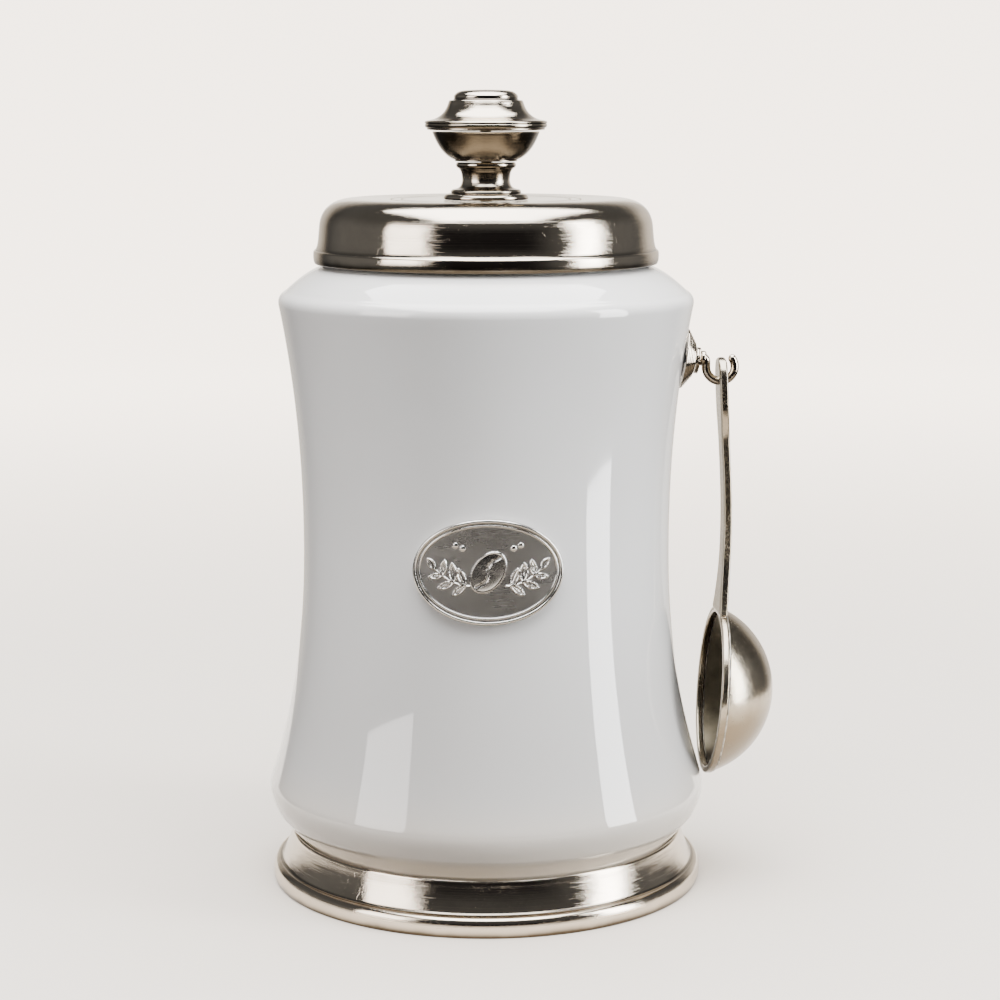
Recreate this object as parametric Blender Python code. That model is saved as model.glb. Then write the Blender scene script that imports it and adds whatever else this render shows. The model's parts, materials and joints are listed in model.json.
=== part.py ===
"""Ceramic coffee jar with pewter fittings and a measuring scoop that hangs on a hook.

The jar stands on z = 0 with its axis on Z. The label plate faces -Y, and the hook and scoop are on
the +X side. Lengths are in metres, angles in radians. Turned pieces are outlines of (radius, height)
pairs that are spun about their own Z axis.
"""
import math

import bmesh
import bpy

# ---------------------------------------------------------------- driving dimensions
GAP = 0.0003                    # play between two pieces that touch
LARGE, MEDIUM, SMALL = 36, 24, 16    # facets around large, medium and small turned pieces

# Ceramic jar: the wall flares from its waist up to the shoulder and down to the bulge
BODY_HEIGHT = 0.2018            # table to the corner of the shoulder
SHOULDER_RADIUS = 0.0707
WAIST_HEIGHT = 0.1180
WAIST_RADIUS = 0.0626
BULGE_HEIGHT = 0.0313
BULGE_RADIUS = 0.0761
UPPER_FLARE = 2.1               # exponent of the wall above the waist
LOWER_FLARE = 2.2               # exponent of the wall below the waist
JAR_WALL = 0.0050
FLOOR_THICKNESS = 0.0060
CORNER_ROUNDING = 0.0030        # height over which shoulder and bulge corners are rounded
CROWN_RISE = 0.0102             # shoulder corner to the root of the neck
NECK_RADIUS = 0.0535
NECK_WALL = 0.0060
NECK_HEIGHT = 0.0156
JAR_FOOT_INSET = 0.0118         # radius of the foot below that of the bulge
JAR_FOOT_HEIGHT = 0.0095        # straight foot, hidden in the pewter ring

# Pewter foot ring and what is under the jar
FOOT_RING_FLARE = 0.0101        # radius of the ring over that of the jar's foot
FOOT_RING_HEIGHT = 0.0172
FOOT_CREASE_HEIGHT = 0.0070
SEAT_THICKNESS = 0.0024         # flange that carries the jar
SEAT_WIDTH = 0.0060
BOND_WIDTH = 0.0010
FELT_THICKNESS = 0.0020

# Label plate
LABEL_HEIGHT = 0.1182           # centre of the plate above the table
LABEL_HALF_WIDTH = 0.0240
LABEL_HALF_HEIGHT = 0.0172
LABEL_THICKNESS = 0.0024
LABEL_FIELD_RECESS = 0.0008
LABEL_BORDER = 0.0028
PAD_THICKNESS = 0.0005

# Lid
LID_WALL = 0.0018
LID_SIDE_PLAY = 0.0014          # between the neck and the skirt of the lid
LID_SKIRT_CLEARANCE = 0.0004    # between the skirt and the crown of the jar
LID_CORNER_WIDTH = 0.0127
LID_CORNER_HEIGHT = 0.0095
LID_DISH = 0.0008               # the top is this much lower in the middle
LID_BEAD = 0.0016               # how far the lower bead stands out of the skirt
PLUG_THICKNESS = 0.0023
PLUG_HUB_HEIGHT = 0.0010
PLUG_HUB_RADIUS = 0.0140
PLUG_OVERLAP = 0.0030           # how far the plug reaches over the rim of the neck
COLLAR_DEPTH = 0.0094
COLLAR_WALL = 0.0030
COLLAR_PLAY = 0.0009
SEAL_HEIGHT = 0.0030
SEAL_DEPTH = 0.0010
SEAL_SQUEEZE_GAP = 0.0003       # between the seal and the bore of the neck

# Knob: pedestal, cup and cap stand on each other
PEDESTAL_HEIGHT = 0.0124
PEDESTAL_FOOT_RADIUS = 0.0144
PEDESTAL_WAIST_RADIUS = 0.0080
PEDESTAL_BEAD_RADIUS = 0.0102
CUP_HEIGHT = 0.0099
CUP_RADIUS = 0.0180
CAP_HEIGHT = 0.0135
CAP_FLANGE_OVERHANG = 0.0027    # over the cup
BUTTON_RADIUS = 0.0108
KNOB_STUD_RADIUS = 0.0020
KNOB_STUD_REACH = 0.0080        # how far the stud hangs below the plug
NUT_RADIUS = 0.0042
NUT_HEIGHT = 0.0034
WASHER_RADIUS = 0.0060
WASHER_THICKNESS = 0.0012

# Hook on the right wall
HOOK_BELOW_SHOULDER = 0.0220
ROSETTE_RADIUS = 0.0102
ROSETTE_DEPTH = 0.0041
GASKET_RADIUS = 0.0060
GASKET_THICKNESS = 0.0006
BOSS_RADIUS = 0.0045
BOSS_DEPTH = 0.0014
HOOK_STUD_RADIUS = 0.0015
ROD_RADIUS = 0.0015
ROD_LEAD = 0.0003              # straight run before the bend, square to the boss
ROD_BEND_RADIUS = 0.0017       # where the rod turns down in front of the boss
ROD_ABOVE_BOSS_AXIS = 0.0014
HOOK_RADIUS = 0.0049
HOOK_DROP = 0.0029              # centre of the hook below the axis of the rosette
HOOK_OPENING_ANGLE = math.radians(50)
INNER_WASHER_RADIUS = 0.0055
INNER_WASHER_THICKNESS = 0.0010
INNER_NUT_RADIUS = 0.0040
INNER_NUT_HEIGHT = 0.0026
BORE_PLAY = 0.0003              # around every stud
WALL_PLAY = 0.0001              # least play between the rosette's edge and the wall

# Scoop, hanging from its pivot on the hook
HANG_ANGLE = math.radians(4)    # the handle sits this far past the lowest point of the hook
SCOOP_YAW = math.radians(2.2)
EYE_CLEARANCE = 0.0008          # between the rod and the upper end of the eye
EYE_BAR = 0.0059                # metal above the eye
EYE_LENGTH = 0.0105
EYE_WIDTH = 0.0062
HANDLE_TOP_WIDTH = 0.0140
HANDLE_WIDTH = 0.0106
HANDLE_THICKNESS = 0.0029
HANDLE_LENGTH = 0.0869          # upper end to the rim ring
HANDLE_BOW = 0.0019             # bulge of the handle away from the jar, lowest half most
HANDLE_BOW_POWER = 1.5
HANDLE_DRIFT = 0.0003           # lower end further out than the upper end
HANDLE_FLARE_WIDTH = 0.0190     # where the handle meets the rim ring
RIM_RADIUS = 0.0291
RIM_WIDTH = 0.0023
RIM_BAND = 0.0024
RIM_TILT = math.radians(5.1)
BOWL_RIM_STEP = 0.0008          # the bowl is this much smaller than the rim ring
BOWL_DEPTH = 0.0193             # behind the rim ring
BOWL_WALL = 0.0012
LEAN_SEARCH = (math.radians(-6), math.radians(25))
# ----------------------------------------------------------------
JAR_FOOT_RADIUS = BULGE_RADIUS - JAR_FOOT_INSET
FOOT_RING_RADIUS = JAR_FOOT_RADIUS + FOOT_RING_FLARE
CAP_FLANGE_RADIUS = CUP_RADIUS + CAP_FLANGE_OVERHANG
BOWL_RIM_RADIUS = RIM_RADIUS - BOWL_RIM_STEP
POLE = 1e-9                     # radius that stands for a point on the axis


# ---------------------------------------------------------------- curves and outlines
def bend(start, control, end, steps=4):
    """Points of a quadratic curve from start to end, without the start point."""
    points = []
    for step in range(1, steps + 1):
        t = step / steps
        weights = ((1 - t) ** 2, 2 * t * (1 - t), t ** 2)
        points.append(tuple(sum(w * p[axis] for w, p in zip(weights, (start, control, end)))
                            for axis in (0, 1)))
    return points


def wall_radius(height):
    """Outer radius of the ceramic wall: a power curve above the waist and another below it."""
    if height >= WAIST_HEIGHT:
        share = (height - WAIST_HEIGHT) / (BODY_HEIGHT - WAIST_HEIGHT)
        return WAIST_RADIUS + (SHOULDER_RADIUS - WAIST_RADIUS) * share ** UPPER_FLARE
    share = (WAIST_HEIGHT - height) / (WAIST_HEIGHT - BULGE_HEIGHT)
    return WAIST_RADIUS + (BULGE_RADIUS - WAIST_RADIUS) * share ** LOWER_FLARE


def wall_tilt(height):
    """Angle by which the wall's normal points down at a height."""
    step = 0.0005
    slope = (wall_radius(height + step) - wall_radius(height - step)) / (2 * step)
    return math.atan(slope)


def spaced(first, last, count):
    """Evenly spaced values from first to last, both included."""
    return [first + (last - first) * i / (count - 1) for i in range(count)]


def crown_outline():
    """Upper surface of the jar, from the shoulder corner in to the root of the neck."""
    root = (NECK_RADIUS, BODY_HEIGHT + CROWN_RISE)
    control = (NECK_RADIUS + 0.42 * (SHOULDER_RADIUS - NECK_RADIUS), root[1] - 0.0014)
    corner = (SHOULDER_RADIUS - 0.0008, BODY_HEIGHT - 0.0008)
    return [corner] + bend(corner, control, root, 8)


def height_on(outline, radius):
    """Height of an outline at a radius, by straight interpolation."""
    for (r0, z0), (r1, z1) in zip(outline, outline[1:]):
        if min(r0, r1) <= radius <= max(r0, r1):
            return z0 + (z1 - z0) * (radius - r0) / (r1 - r0)
    raise ValueError("radius is off the outline")


def jar_seat():
    """Height of the underside of the ceramic."""
    return FELT_THICKNESS + GAP + SEAT_THICKNESS + GAP


def bulge_underside():
    """Point (radius, height) where the straight underside of the bulge ends."""
    return BULGE_RADIUS - 0.0032, BULGE_HEIGHT - 0.0064


def underside_radius(height):
    """Radius of the straight stretch between the jar's foot and its bulge."""
    foot_top = jar_seat() + JAR_FOOT_HEIGHT
    end_radius, end_height = bulge_underside()
    share = max(0.0, (height - foot_top) / (end_height - foot_top))
    return JAR_FOOT_RADIUS + (end_radius - JAR_FOOT_RADIUS) * share


def jar_outer_outline():
    """Outer surface of the ceramic, from its underside up to the rim."""
    seat = jar_seat()
    foot_top = seat + JAR_FOOT_HEIGHT
    bulge = (wall_radius(BULGE_HEIGHT + CORNER_ROUNDING), BULGE_HEIGHT + CORNER_ROUNDING)
    under = bulge_underside()
    outline = [(JAR_FOOT_RADIUS - 0.0010, seat), (JAR_FOOT_RADIUS, seat + 0.0010)]
    outline.append((JAR_FOOT_RADIUS, foot_top))
    outline.append(under)
    outline += bend(under, (BULGE_RADIUS - 0.0004, BULGE_HEIGHT - 0.0008), bulge, 4)
    for height in spaced(bulge[1], BODY_HEIGHT - CORNER_ROUNDING, 13)[1:]:
        outline.append((wall_radius(height), height))
    crown = crown_outline()
    corner = (SHOULDER_RADIUS - 0.0002, BODY_HEIGHT)
    outline += bend(outline[-1], corner, crown[1], 3)
    outline += crown[2:]
    rim = rim_height()
    outline += [(NECK_RADIUS, rim - 0.0015), (NECK_RADIUS - 0.0015, rim)]
    return outline


def rim_height():
    """Height of the rim of the jar's neck."""
    return BODY_HEIGHT + CROWN_RISE + NECK_HEIGHT


def jar_inner_outline():
    """Inner surface of the ceramic, from the rim down to the middle of the floor."""
    rim = rim_height()
    bore = NECK_RADIUS - NECK_WALL
    neck_root = BODY_HEIGHT + CROWN_RISE - 0.0035
    wall_top = BODY_HEIGHT - 0.0080
    wall_bottom = BULGE_HEIGHT + 0.0045
    floor = jar_seat() + FLOOR_THICKNESS
    upper = (wall_radius(wall_top) - JAR_WALL, wall_top)
    lower = (wall_radius(wall_bottom) - JAR_WALL, wall_bottom)
    outline = [(bore + 0.0015, rim), (bore, rim - 0.0015), (bore, neck_root)]
    outline += bend(outline[-1], (bore + 0.0100, neck_root - 0.0030), upper, 4)
    for height in spaced(wall_top, wall_bottom, 8)[1:]:
        outline.append((wall_radius(height) - JAR_WALL, height))
    outline += bend(lower, (lower[0] - 0.0050, floor + 0.0015), (lower[0] - 0.0195, floor), 5)
    outline.append((0.0, floor))
    return outline


def foot_ring_outline():
    """Section of the pewter foot ring, down its outer side and up its inner side."""
    inner = JAR_FOOT_RADIUS + 2 * GAP + BOND_WIDTH
    top_inner = (underside_radius(FOOT_RING_HEIGHT) + 0.0004, FOOT_RING_HEIGHT)
    top_outer = (top_inner[0] + 0.0005, FOOT_RING_HEIGHT - 0.0002)
    crease = (FOOT_RING_RADIUS - 0.0030, FOOT_CREASE_HEIGHT)
    roll = (FOOT_RING_RADIUS, 0.0015)
    recess = FELT_THICKNESS + GAP
    seat = recess + SEAT_THICKNESS
    outline = [top_inner, top_outer, crease]
    outline.append((crease[0] + 0.0006, crease[1] - 0.0004))
    outline += bend(outline[-1], (FOOT_RING_RADIUS + 0.0002, crease[1] - 0.0010), roll, 4)
    outline += [(FOOT_RING_RADIUS - 0.0006, 0.0), (inner + 0.0004, 0.0), (inner + 0.0004, recess)]
    outline += [(inner - SEAT_WIDTH, recess), (inner - SEAT_WIDTH, seat), (inner, seat)]
    outline.append((inner, jar_seat() + JAR_FOOT_HEIGHT + 0.0002))
    return outline


def lid_skirt_radius():
    """Outer radius of the straight skirt of the lid."""
    return NECK_RADIUS + LID_SIDE_PLAY + LID_WALL


def plug_underside():
    """Height of the face of the plug that rests on the rim."""
    return rim_height() + GAP


def hub_top():
    """Height of the hub of the plug, which carries the lid shell."""
    return plug_underside() + PLUG_THICKNESS + PLUG_HUB_HEIGHT


def lid_top():
    """Height of the top of the lid in its middle."""
    return hub_top() + GAP + LID_WALL


def lid_outline():
    """Section of the lid shell: over the top, down the skirt and back up inside."""
    skirt = lid_skirt_radius()
    top = lid_top()
    bore = KNOB_STUD_RADIUS + BORE_PLAY
    bottom = height_on(crown_outline(), skirt - LID_WALL) + LID_SKIRT_CLEARANCE
    edge = (skirt - LID_CORNER_WIDTH, top + LID_DISH)
    corner = (skirt - 0.0013, top + LID_DISH)
    side = (skirt - 0.0005, top + LID_DISH - LID_CORNER_HEIGHT)
    bead = skirt + LID_BEAD
    outline = [(bore, top), (0.6 * edge[0], top + 0.4 * LID_DISH), edge]
    outline += bend(edge, corner, side, 6)
    outline += [(skirt, bottom + 0.0074), (skirt + 0.0006, bottom + 0.0056)]
    outline += [(bead - 0.0002, bottom + 0.0046), (bead, bottom + 0.0036), (bead - 0.0003, bottom + 0.0024)]
    outline += [(bead - 0.0007, bottom + 0.0014), (bead - 0.0008, bottom)]
    outline += [(skirt - LID_WALL + 0.0006, bottom), (skirt - LID_WALL, bottom + 0.0060)]
    inner_side = (side[0] - LID_WALL, side[1])
    inner_edge = (edge[0], edge[1] - LID_WALL)
    outline.append(inner_side)
    outline += bend(inner_side, (corner[0] - LID_WALL, corner[1] - LID_WALL), inner_edge, 4)
    outline.append((bore, top - LID_WALL))
    return outline


def plug_outline():
    """Section of the plug: hub, disc over the rim, and collar with its groove."""
    bore = KNOB_STUD_RADIUS + BORE_PLAY
    under = plug_underside()
    top = under + PLUG_THICKNESS
    neck_bore = NECK_RADIUS - NECK_WALL
    collar = neck_bore - COLLAR_PLAY
    foot = under - COLLAR_DEPTH
    groove_top = foot + 0.0015 + SEAL_HEIGHT + 2 * GAP
    outline = [(bore, hub_top()), (PLUG_HUB_RADIUS, hub_top()), (PLUG_HUB_RADIUS, top)]
    outline += [(neck_bore + PLUG_OVERLAP, top), (neck_bore + PLUG_OVERLAP, under), (collar, under)]
    outline += [(collar, groove_top), (collar - SEAL_DEPTH, groove_top)]
    outline += [(collar - SEAL_DEPTH, foot + 0.0015), (collar, foot + 0.0015), (collar, foot)]
    outline += [(collar - COLLAR_WALL, foot), (collar - COLLAR_WALL, under), (bore, under)]
    return outline


def seal_outline():
    """Section of the seal: a ring in the groove with a rounded outer face."""
    neck_bore = NECK_RADIUS - NECK_WALL
    inner = neck_bore - COLLAR_PLAY - SEAL_DEPTH + GAP
    outer = neck_bore - SEAL_SQUEEZE_GAP
    low = plug_underside() - COLLAR_DEPTH + 0.0015 + GAP
    high = low + SEAL_HEIGHT
    middle = 0.5 * (low + high)
    return [(inner, high), (outer - 0.0004, high), (outer, middle), (outer - 0.0004, low), (inner, low)]


def pedestal_outline():
    """Section of the knob's foot, from its bead down to the lid, heights above the lid."""
    bore = KNOB_STUD_RADIUS + BORE_PLAY
    top = PEDESTAL_HEIGHT
    bead, waist, foot = PEDESTAL_BEAD_RADIUS, PEDESTAL_WAIST_RADIUS, PEDESTAL_FOOT_RADIUS
    outline = [(bore, top), (bead - 0.0004, top), (bead, top - 0.0008), (bead - 0.0003, top - 0.0016)]
    outline.append((bead - 0.0010, top - 0.0022))
    outline += bend(outline[-1], (waist, top - 0.0036), (waist, top - 0.0056), 3)
    outline += bend(outline[-1], (waist, 0.0042), (foot - 0.0030, 0.0033), 4)
    outline += [(foot - 0.0023, 0.0027), (foot - 0.0019, 0.0020), (foot - 0.0006, 0.0013)]
    outline += [(foot, 0.0005), (foot - 0.0002, 0.0), (bore, 0.0)]
    return outline


def cup_outline():
    """Section of the bowl-shaped middle of the knob, heights above the pedestal."""
    bore = KNOB_STUD_RADIUS + BORE_PLAY
    foot = (PEDESTAL_BEAD_RADIUS + 0.0002, 0.0)
    outline = [(bore, CUP_HEIGHT), (CUP_RADIUS, CUP_HEIGHT)]
    outline += bend(outline[-1], (CUP_RADIUS - 0.0024, 0.0027), foot, 6)
    outline.append((bore, 0.0))
    return outline


def cap_outline():
    """Section of the knob's cap, heights above the cup: button, cone and flange with a blind bore."""
    bore = KNOB_STUD_RADIUS + BORE_PLAY
    top = CAP_HEIGHT
    flange, button = CAP_FLANGE_RADIUS, BUTTON_RADIUS
    ledge = (button + 0.0017, top - 0.0037)
    outline = [(0.0, top), (button - 0.0019, top - 0.0004)]
    outline += bend(outline[-1], (button, top - 0.0010), (button, top - 0.0024), 3)
    outline += [(button, top - 0.0033), ledge, (ledge[0] + 0.0005, top - 0.0050)]
    outline += bend(outline[-1], (ledge[0] + 0.0020, 0.0042), (flange - 0.0006, 0.0032), 4)
    outline += [(flange - 0.0001, 0.0027), (flange, 0.0014), (flange - 0.0008, 0.0004)]
    outline += [(CUP_RADIUS + 0.0004, 0.0), (bore, 0.0), (bore, top - 0.0060), (0.0, top - 0.0060)]
    return outline


def disc_outline(radius, low, high, bore=0.0):
    """Section of a plain disc or ring."""
    return [(bore, high), (radius, high), (radius, low), (bore, low)]


def rosette_outline():
    """Section of the stepped rosette, heights along its own axis from the wall of the jar."""
    bore = HOOK_STUD_RADIUS + BORE_PLAY
    lift = hook_lift()
    recess = GASKET_THICKNESS + 3 * GAP
    steps = 4
    top_radius = BOSS_RADIUS + 0.0012
    tread = (ROSETTE_RADIUS - top_radius) / steps
    rise = (ROSETTE_DEPTH - 0.0010) / steps
    outline = [(bore, ROSETTE_DEPTH), (top_radius - 0.0006, ROSETTE_DEPTH)]
    for step in range(steps):
        radius = top_radius + step * tread
        height = ROSETTE_DEPTH - step * rise
        outline += [(radius, height - 0.4 * rise), (radius + 0.5 * tread, height - rise)]
    outline += [(ROSETTE_RADIUS - 0.0001, 0.0009), (ROSETTE_RADIUS, GAP), (GASKET_RADIUS + GAP, GAP)]
    outline += [(GASKET_RADIUS + GAP, recess), (bore, recess)]
    return [(radius, height + lift) for radius, height in outline]


def boss_outline():
    """Section of the boss, with a blind bore for the stud."""
    bore = HOOK_STUD_RADIUS + BORE_PLAY
    low = hook_lift() + ROSETTE_DEPTH + GAP
    high = low + BOSS_DEPTH
    end = high - 0.0004
    outline = [(0.0, high), (BOSS_RADIUS - 0.0004, high), (BOSS_RADIUS, high - 0.0004)]
    return outline + [(BOSS_RADIUS, low), (bore, low), (bore, end), (0.0, end)]


# ---------------------------------------------------------------- hook and scoop places
def hook_height():
    """Height of the rosette's centre."""
    return BODY_HEIGHT - HOOK_BELOW_SHOULDER


def hook_lift():
    """How far a strongly curved wall holds the rosette's upper edge out, beyond its usual gap."""
    height = hook_height()
    tilt = wall_tilt(height)
    edge = height + (ROSETTE_RADIUS + GAP) * math.cos(tilt)
    bulge = (wall_radius(edge) - wall_radius(height)) * math.cos(tilt) - (edge - height) * math.sin(tilt)
    return max(0.0, bulge + WALL_PLAY - GAP)


def boss_face():
    """Distance of the boss's front face from the wall, along the rosette's axis."""
    return hook_lift() + ROSETTE_DEPTH + GAP + BOSS_DEPTH


def rod_bend_centre():
    """Centre (x, z) of the bend that turns the rod down in front of the boss."""
    tilt = wall_tilt(hook_height())
    normal = (math.cos(tilt), -math.sin(tilt))
    up = (math.sin(tilt), math.cos(tilt))
    out = boss_face() + GAP + ROD_LEAD
    rise = ROD_ABOVE_BOSS_AXIS - ROD_BEND_RADIUS
    start = (wall_radius(hook_height()), hook_height())
    return tuple(start[i] + out * normal[i] + rise * up[i] for i in (0, 1))


def hook_centre():
    """Centre (x, z) of the round part of the hook."""
    leg = rod_bend_centre()[0] + ROD_BEND_RADIUS
    return leg + HOOK_RADIUS, hook_height() - HOOK_DROP


def hook_path():
    """Centre line (x, z) of the rod: out of the boss, down, and round to the open tip."""
    tilt = wall_tilt(hook_height())
    bend_x, bend_z = rod_bend_centre()
    centre_x, centre_z = hook_centre()
    path = [(bend_x + ROD_BEND_RADIUS * math.sin(tilt) - ROD_LEAD * math.cos(tilt),
             bend_z + ROD_BEND_RADIUS * math.cos(tilt) + ROD_LEAD * math.sin(tilt))]
    for angle in spaced(math.pi / 2 - tilt, 0.0, 4):
        path.append((bend_x + ROD_BEND_RADIUS * math.cos(angle),
                     bend_z + ROD_BEND_RADIUS * math.sin(angle)))
    for angle in spaced(math.pi, 2 * math.pi + HOOK_OPENING_ANGLE, 14):
        path.append((centre_x + HOOK_RADIUS * math.cos(angle),
                     centre_z + HOOK_RADIUS * math.sin(angle)))
    return path


def scoop_pivot():
    """Place (x, z) on the rod's centre line that the handle turns about."""
    centre_x, centre_z = hook_centre()
    return (centre_x + HOOK_RADIUS * math.sin(HANG_ANGLE),
            centre_z - HOOK_RADIUS * math.cos(HANG_ANGLE))


def eye_top():
    """Upper end of the eye above the pivot."""
    return ROD_RADIUS + EYE_CLEARANCE


def handle_top():
    """Upper end of the handle above the pivot."""
    return eye_top() + EYE_BAR


def rim_centre():
    """Centre (x, z) of the rim ring in the scoop's own frame, half way through its band."""
    top = handle_top() - HANDLE_LENGTH
    return HANDLE_DRIFT - RIM_RADIUS * math.sin(RIM_TILT), top - RIM_RADIUS * math.cos(RIM_TILT)


def handle_centre_line(depth):
    """Offset x of the handle's middle at a depth below its upper end: bowed, then in the rim's plane."""
    share = depth / HANDLE_LENGTH
    if share <= 1.0:
        return HANDLE_DRIFT * share + HANDLE_BOW * math.sin(math.pi * share ** HANDLE_BOW_POWER)
    return HANDLE_DRIFT - (depth - HANDLE_LENGTH) * math.tan(RIM_TILT)


def handle_half_width(depth):
    """Half width of the handle at a depth: round end, eye, slim grip and flare into the rim."""
    top_half, half, flare_half = (0.5 * w for w in (HANDLE_TOP_WIDTH, HANDLE_WIDTH, HANDLE_FLARE_WIDTH))
    if depth < top_half:
        return max(0.25 * top_half, math.sqrt(top_half ** 2 - (top_half - depth) ** 2))
    eye_end = EYE_BAR + EYE_LENGTH
    taper_end = eye_end + 0.0120
    if depth < eye_end:
        return top_half
    if depth < taper_end:
        share = (depth - eye_end) / (taper_end - eye_end)
        return top_half + (half - top_half) * share * share * (3 - 2 * share)
    flare_start = HANDLE_LENGTH - 0.0220
    if depth < flare_start:
        return half
    share = (depth - flare_start) / (HANDLE_LENGTH - flare_start)
    return half + (flare_half - half) * share ** 2


def jar_limit(height):
    """Outermost radius of jar and foot ring at a height, for what hangs beside them."""
    if height < FOOT_RING_HEIGHT:
        return FOOT_RING_RADIUS
    if height < BULGE_HEIGHT:
        return BULGE_RADIUS
    return wall_radius(min(height, BODY_HEIGHT))


def rest_lean():
    """Smallest outward swing at which the inner edge of the rim ring is clear of the jar.

    The scoop's own weight pulls its bowl in, so it rests where the ring meets the wall."""
    pivot_x, pivot_z = scoop_pivot()
    centre_x, centre_z = rim_centre()
    inner = []
    for reach in spaced(-RIM_RADIUS, RIM_RADIUS, 9):
        inner.append((centre_x - 0.5 * RIM_BAND * math.cos(RIM_TILT) + reach * math.sin(RIM_TILT),
                      centre_z + 0.5 * RIM_BAND * math.sin(RIM_TILT) + reach * math.cos(RIM_TILT)))

    def clearance(lean):
        spaces = []
        for x, z in inner:
            world_x = pivot_x + x * math.cos(lean) - z * math.sin(lean)
            world_z = pivot_z + x * math.sin(lean) + z * math.cos(lean)
            spaces.append(world_x - jar_limit(world_z) - GAP)
        return min(spaces)

    low, high = LEAN_SEARCH
    for _ in range(40):
        middle = 0.5 * (low + high)
        if clearance(middle) > 0:
            high = middle
        else:
            low = middle
    return high


# ---------------------------------------------------------------- building helpers
def clear_scene():
    """Remove every object of the start-up scene."""
    for thing in list(bpy.data.objects):
        bpy.data.objects.remove(thing, do_unlink=True)


def finish(name, colour, roughness, metallic=0.0):
    """A Principled material with one colour."""
    material = bpy.data.materials.get(name) or bpy.data.materials.new(name)
    material.use_nodes = True
    shader = material.node_tree.nodes["Principled BSDF"]
    shader.inputs["Base Color"].default_value = (*colour, 1.0)
    shader.inputs["Roughness"].default_value = roughness
    shader.inputs["Metallic"].default_value = metallic
    return material


def glaze():
    return finish("white_glaze", (0.80, 0.79, 0.78), 0.08)


def pewter():
    return finish("polished_pewter", (0.60, 0.57, 0.53), 0.12, 1.0)


def worn_pewter():
    return finish("worn_pewter", (0.50, 0.47, 0.42), 0.28, 1.0)


def dark_pewter():
    return finish("dark_pewter", (0.30, 0.29, 0.28), 0.30, 1.0)


def silicone():
    return finish("silicone", (0.70, 0.70, 0.68), 0.50)


def plastic():
    return finish("plug_plastic", (0.78, 0.77, 0.73), 0.40)


def adhesive():
    return finish("adhesive", (0.62, 0.60, 0.55), 0.60)


def felt():
    return finish("felt", (0.05, 0.06, 0.05), 0.95)


def steel():
    return finish("steel", (0.55, 0.55, 0.56), 0.30, 1.0)


def add_object(name, shape, material, parent=None):
    """Turn a bmesh into a named object with its material."""
    bmesh.ops.remove_doubles(shape, verts=shape.verts, dist=1e-6)
    bmesh.ops.recalc_face_normals(shape, faces=shape.faces)
    mesh = bpy.data.meshes.new(name)
    shape.to_mesh(mesh)
    shape.free()
    mesh.materials.append(material)
    mesh.shade_smooth()
    mesh.set_sharp_from_angle(angle=math.radians(35))
    thing = bpy.data.objects.new(name, mesh)
    bpy.context.scene.collection.objects.link(thing)
    thing.parent = parent
    return thing


def turned(name, outline, facets, material, parent=None, lift=0.0):
    """Closed body made by spinning an outline about Z. It may start and end on the axis."""
    shape = bmesh.new()
    corners = [shape.verts.new((max(radius, POLE), 0.0, height + lift)) for radius, height in outline]
    pairs = list(zip(corners, corners[1:]))
    if outline[0][0] > 0.0 or outline[-1][0] > 0.0:
        pairs.append((corners[-1], corners[0]))
    edges = [shape.edges.new(pair) for pair in pairs]
    bmesh.ops.spin(shape, geom=corners + edges, cent=(0, 0, 0), axis=(0, 0, 1),
                   angle=2 * math.pi, steps=facets, use_merge=True)
    return add_object(name, shape, material, parent)


def empty(name, place, rotation=(0.0, 0.0, 0.0)):
    """An empty that carries an axis for the pieces parented to it."""
    carrier = bpy.data.objects.new(name, None)
    bpy.context.scene.collection.objects.link(carrier)
    carrier.location = place
    carrier.rotation_euler = rotation
    return carrier


def guide(thing):
    """Mark an object as a cutter or a guide."""
    thing.hide_render = True
    thing.display_type = "WIRE"
    return thing


def combine(target, other, operation):
    """Boolean of a target with a guide object."""
    modifier = target.modifiers.new(other.name, "BOOLEAN")
    modifier.object = guide(other)
    modifier.operation = operation
    modifier.solver = "EXACT"


# ---------------------------------------------------------------- pieces that stand on the table
def make_jar(hook_axis):
    """Ceramic jar with the bore for the hook's stud."""
    outline = jar_outer_outline() + jar_inner_outline()
    outline.append((0.0, jar_seat()))
    jar = turned("jar_body", outline[::-1], LARGE, glaze())
    reach = JAR_WALL + 0.0100
    cutter = turned("hook_bore_cutter", disc_outline(HOOK_STUD_RADIUS + 2 * BORE_PLAY, -reach, 0.0050),
                    16, steel(), hook_axis)
    combine(jar, cutter, "DIFFERENCE")


def make_foot():
    """Pewter ring, the bead that bonds it to the jar, and the felt under both."""
    turned("foot_ring", foot_ring_outline(), LARGE, pewter())
    inner = JAR_FOOT_RADIUS + GAP
    low = jar_seat() + 0.0012
    high = jar_seat() + JAR_FOOT_HEIGHT - 0.0008
    turned("foot_bond", disc_outline(inner + BOND_WIDTH, low, high, inner), LARGE, adhesive())
    felt_radius = JAR_FOOT_RADIUS + GAP + BOND_WIDTH
    turned("foot_felt", disc_outline(felt_radius, 0.0, FELT_THICKNESS), LARGE, felt())


def label_ring(shape, inset, standoff, facets):
    """One oval loop of corners, inset from the label's outline and off the wall by standoff."""
    loop = []
    for index in range(facets):
        turn = 2 * math.pi * index / facets
        across = (LABEL_HALF_WIDTH - inset) * math.cos(turn)
        height = LABEL_HEIGHT + (LABEL_HALF_HEIGHT - inset) * math.sin(turn)
        radius = wall_radius(height) + standoff
        around = across / WAIST_RADIUS
        loop.append(shape.verts.new((radius * math.sin(around), -radius * math.cos(around), height)))
    return loop


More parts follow.
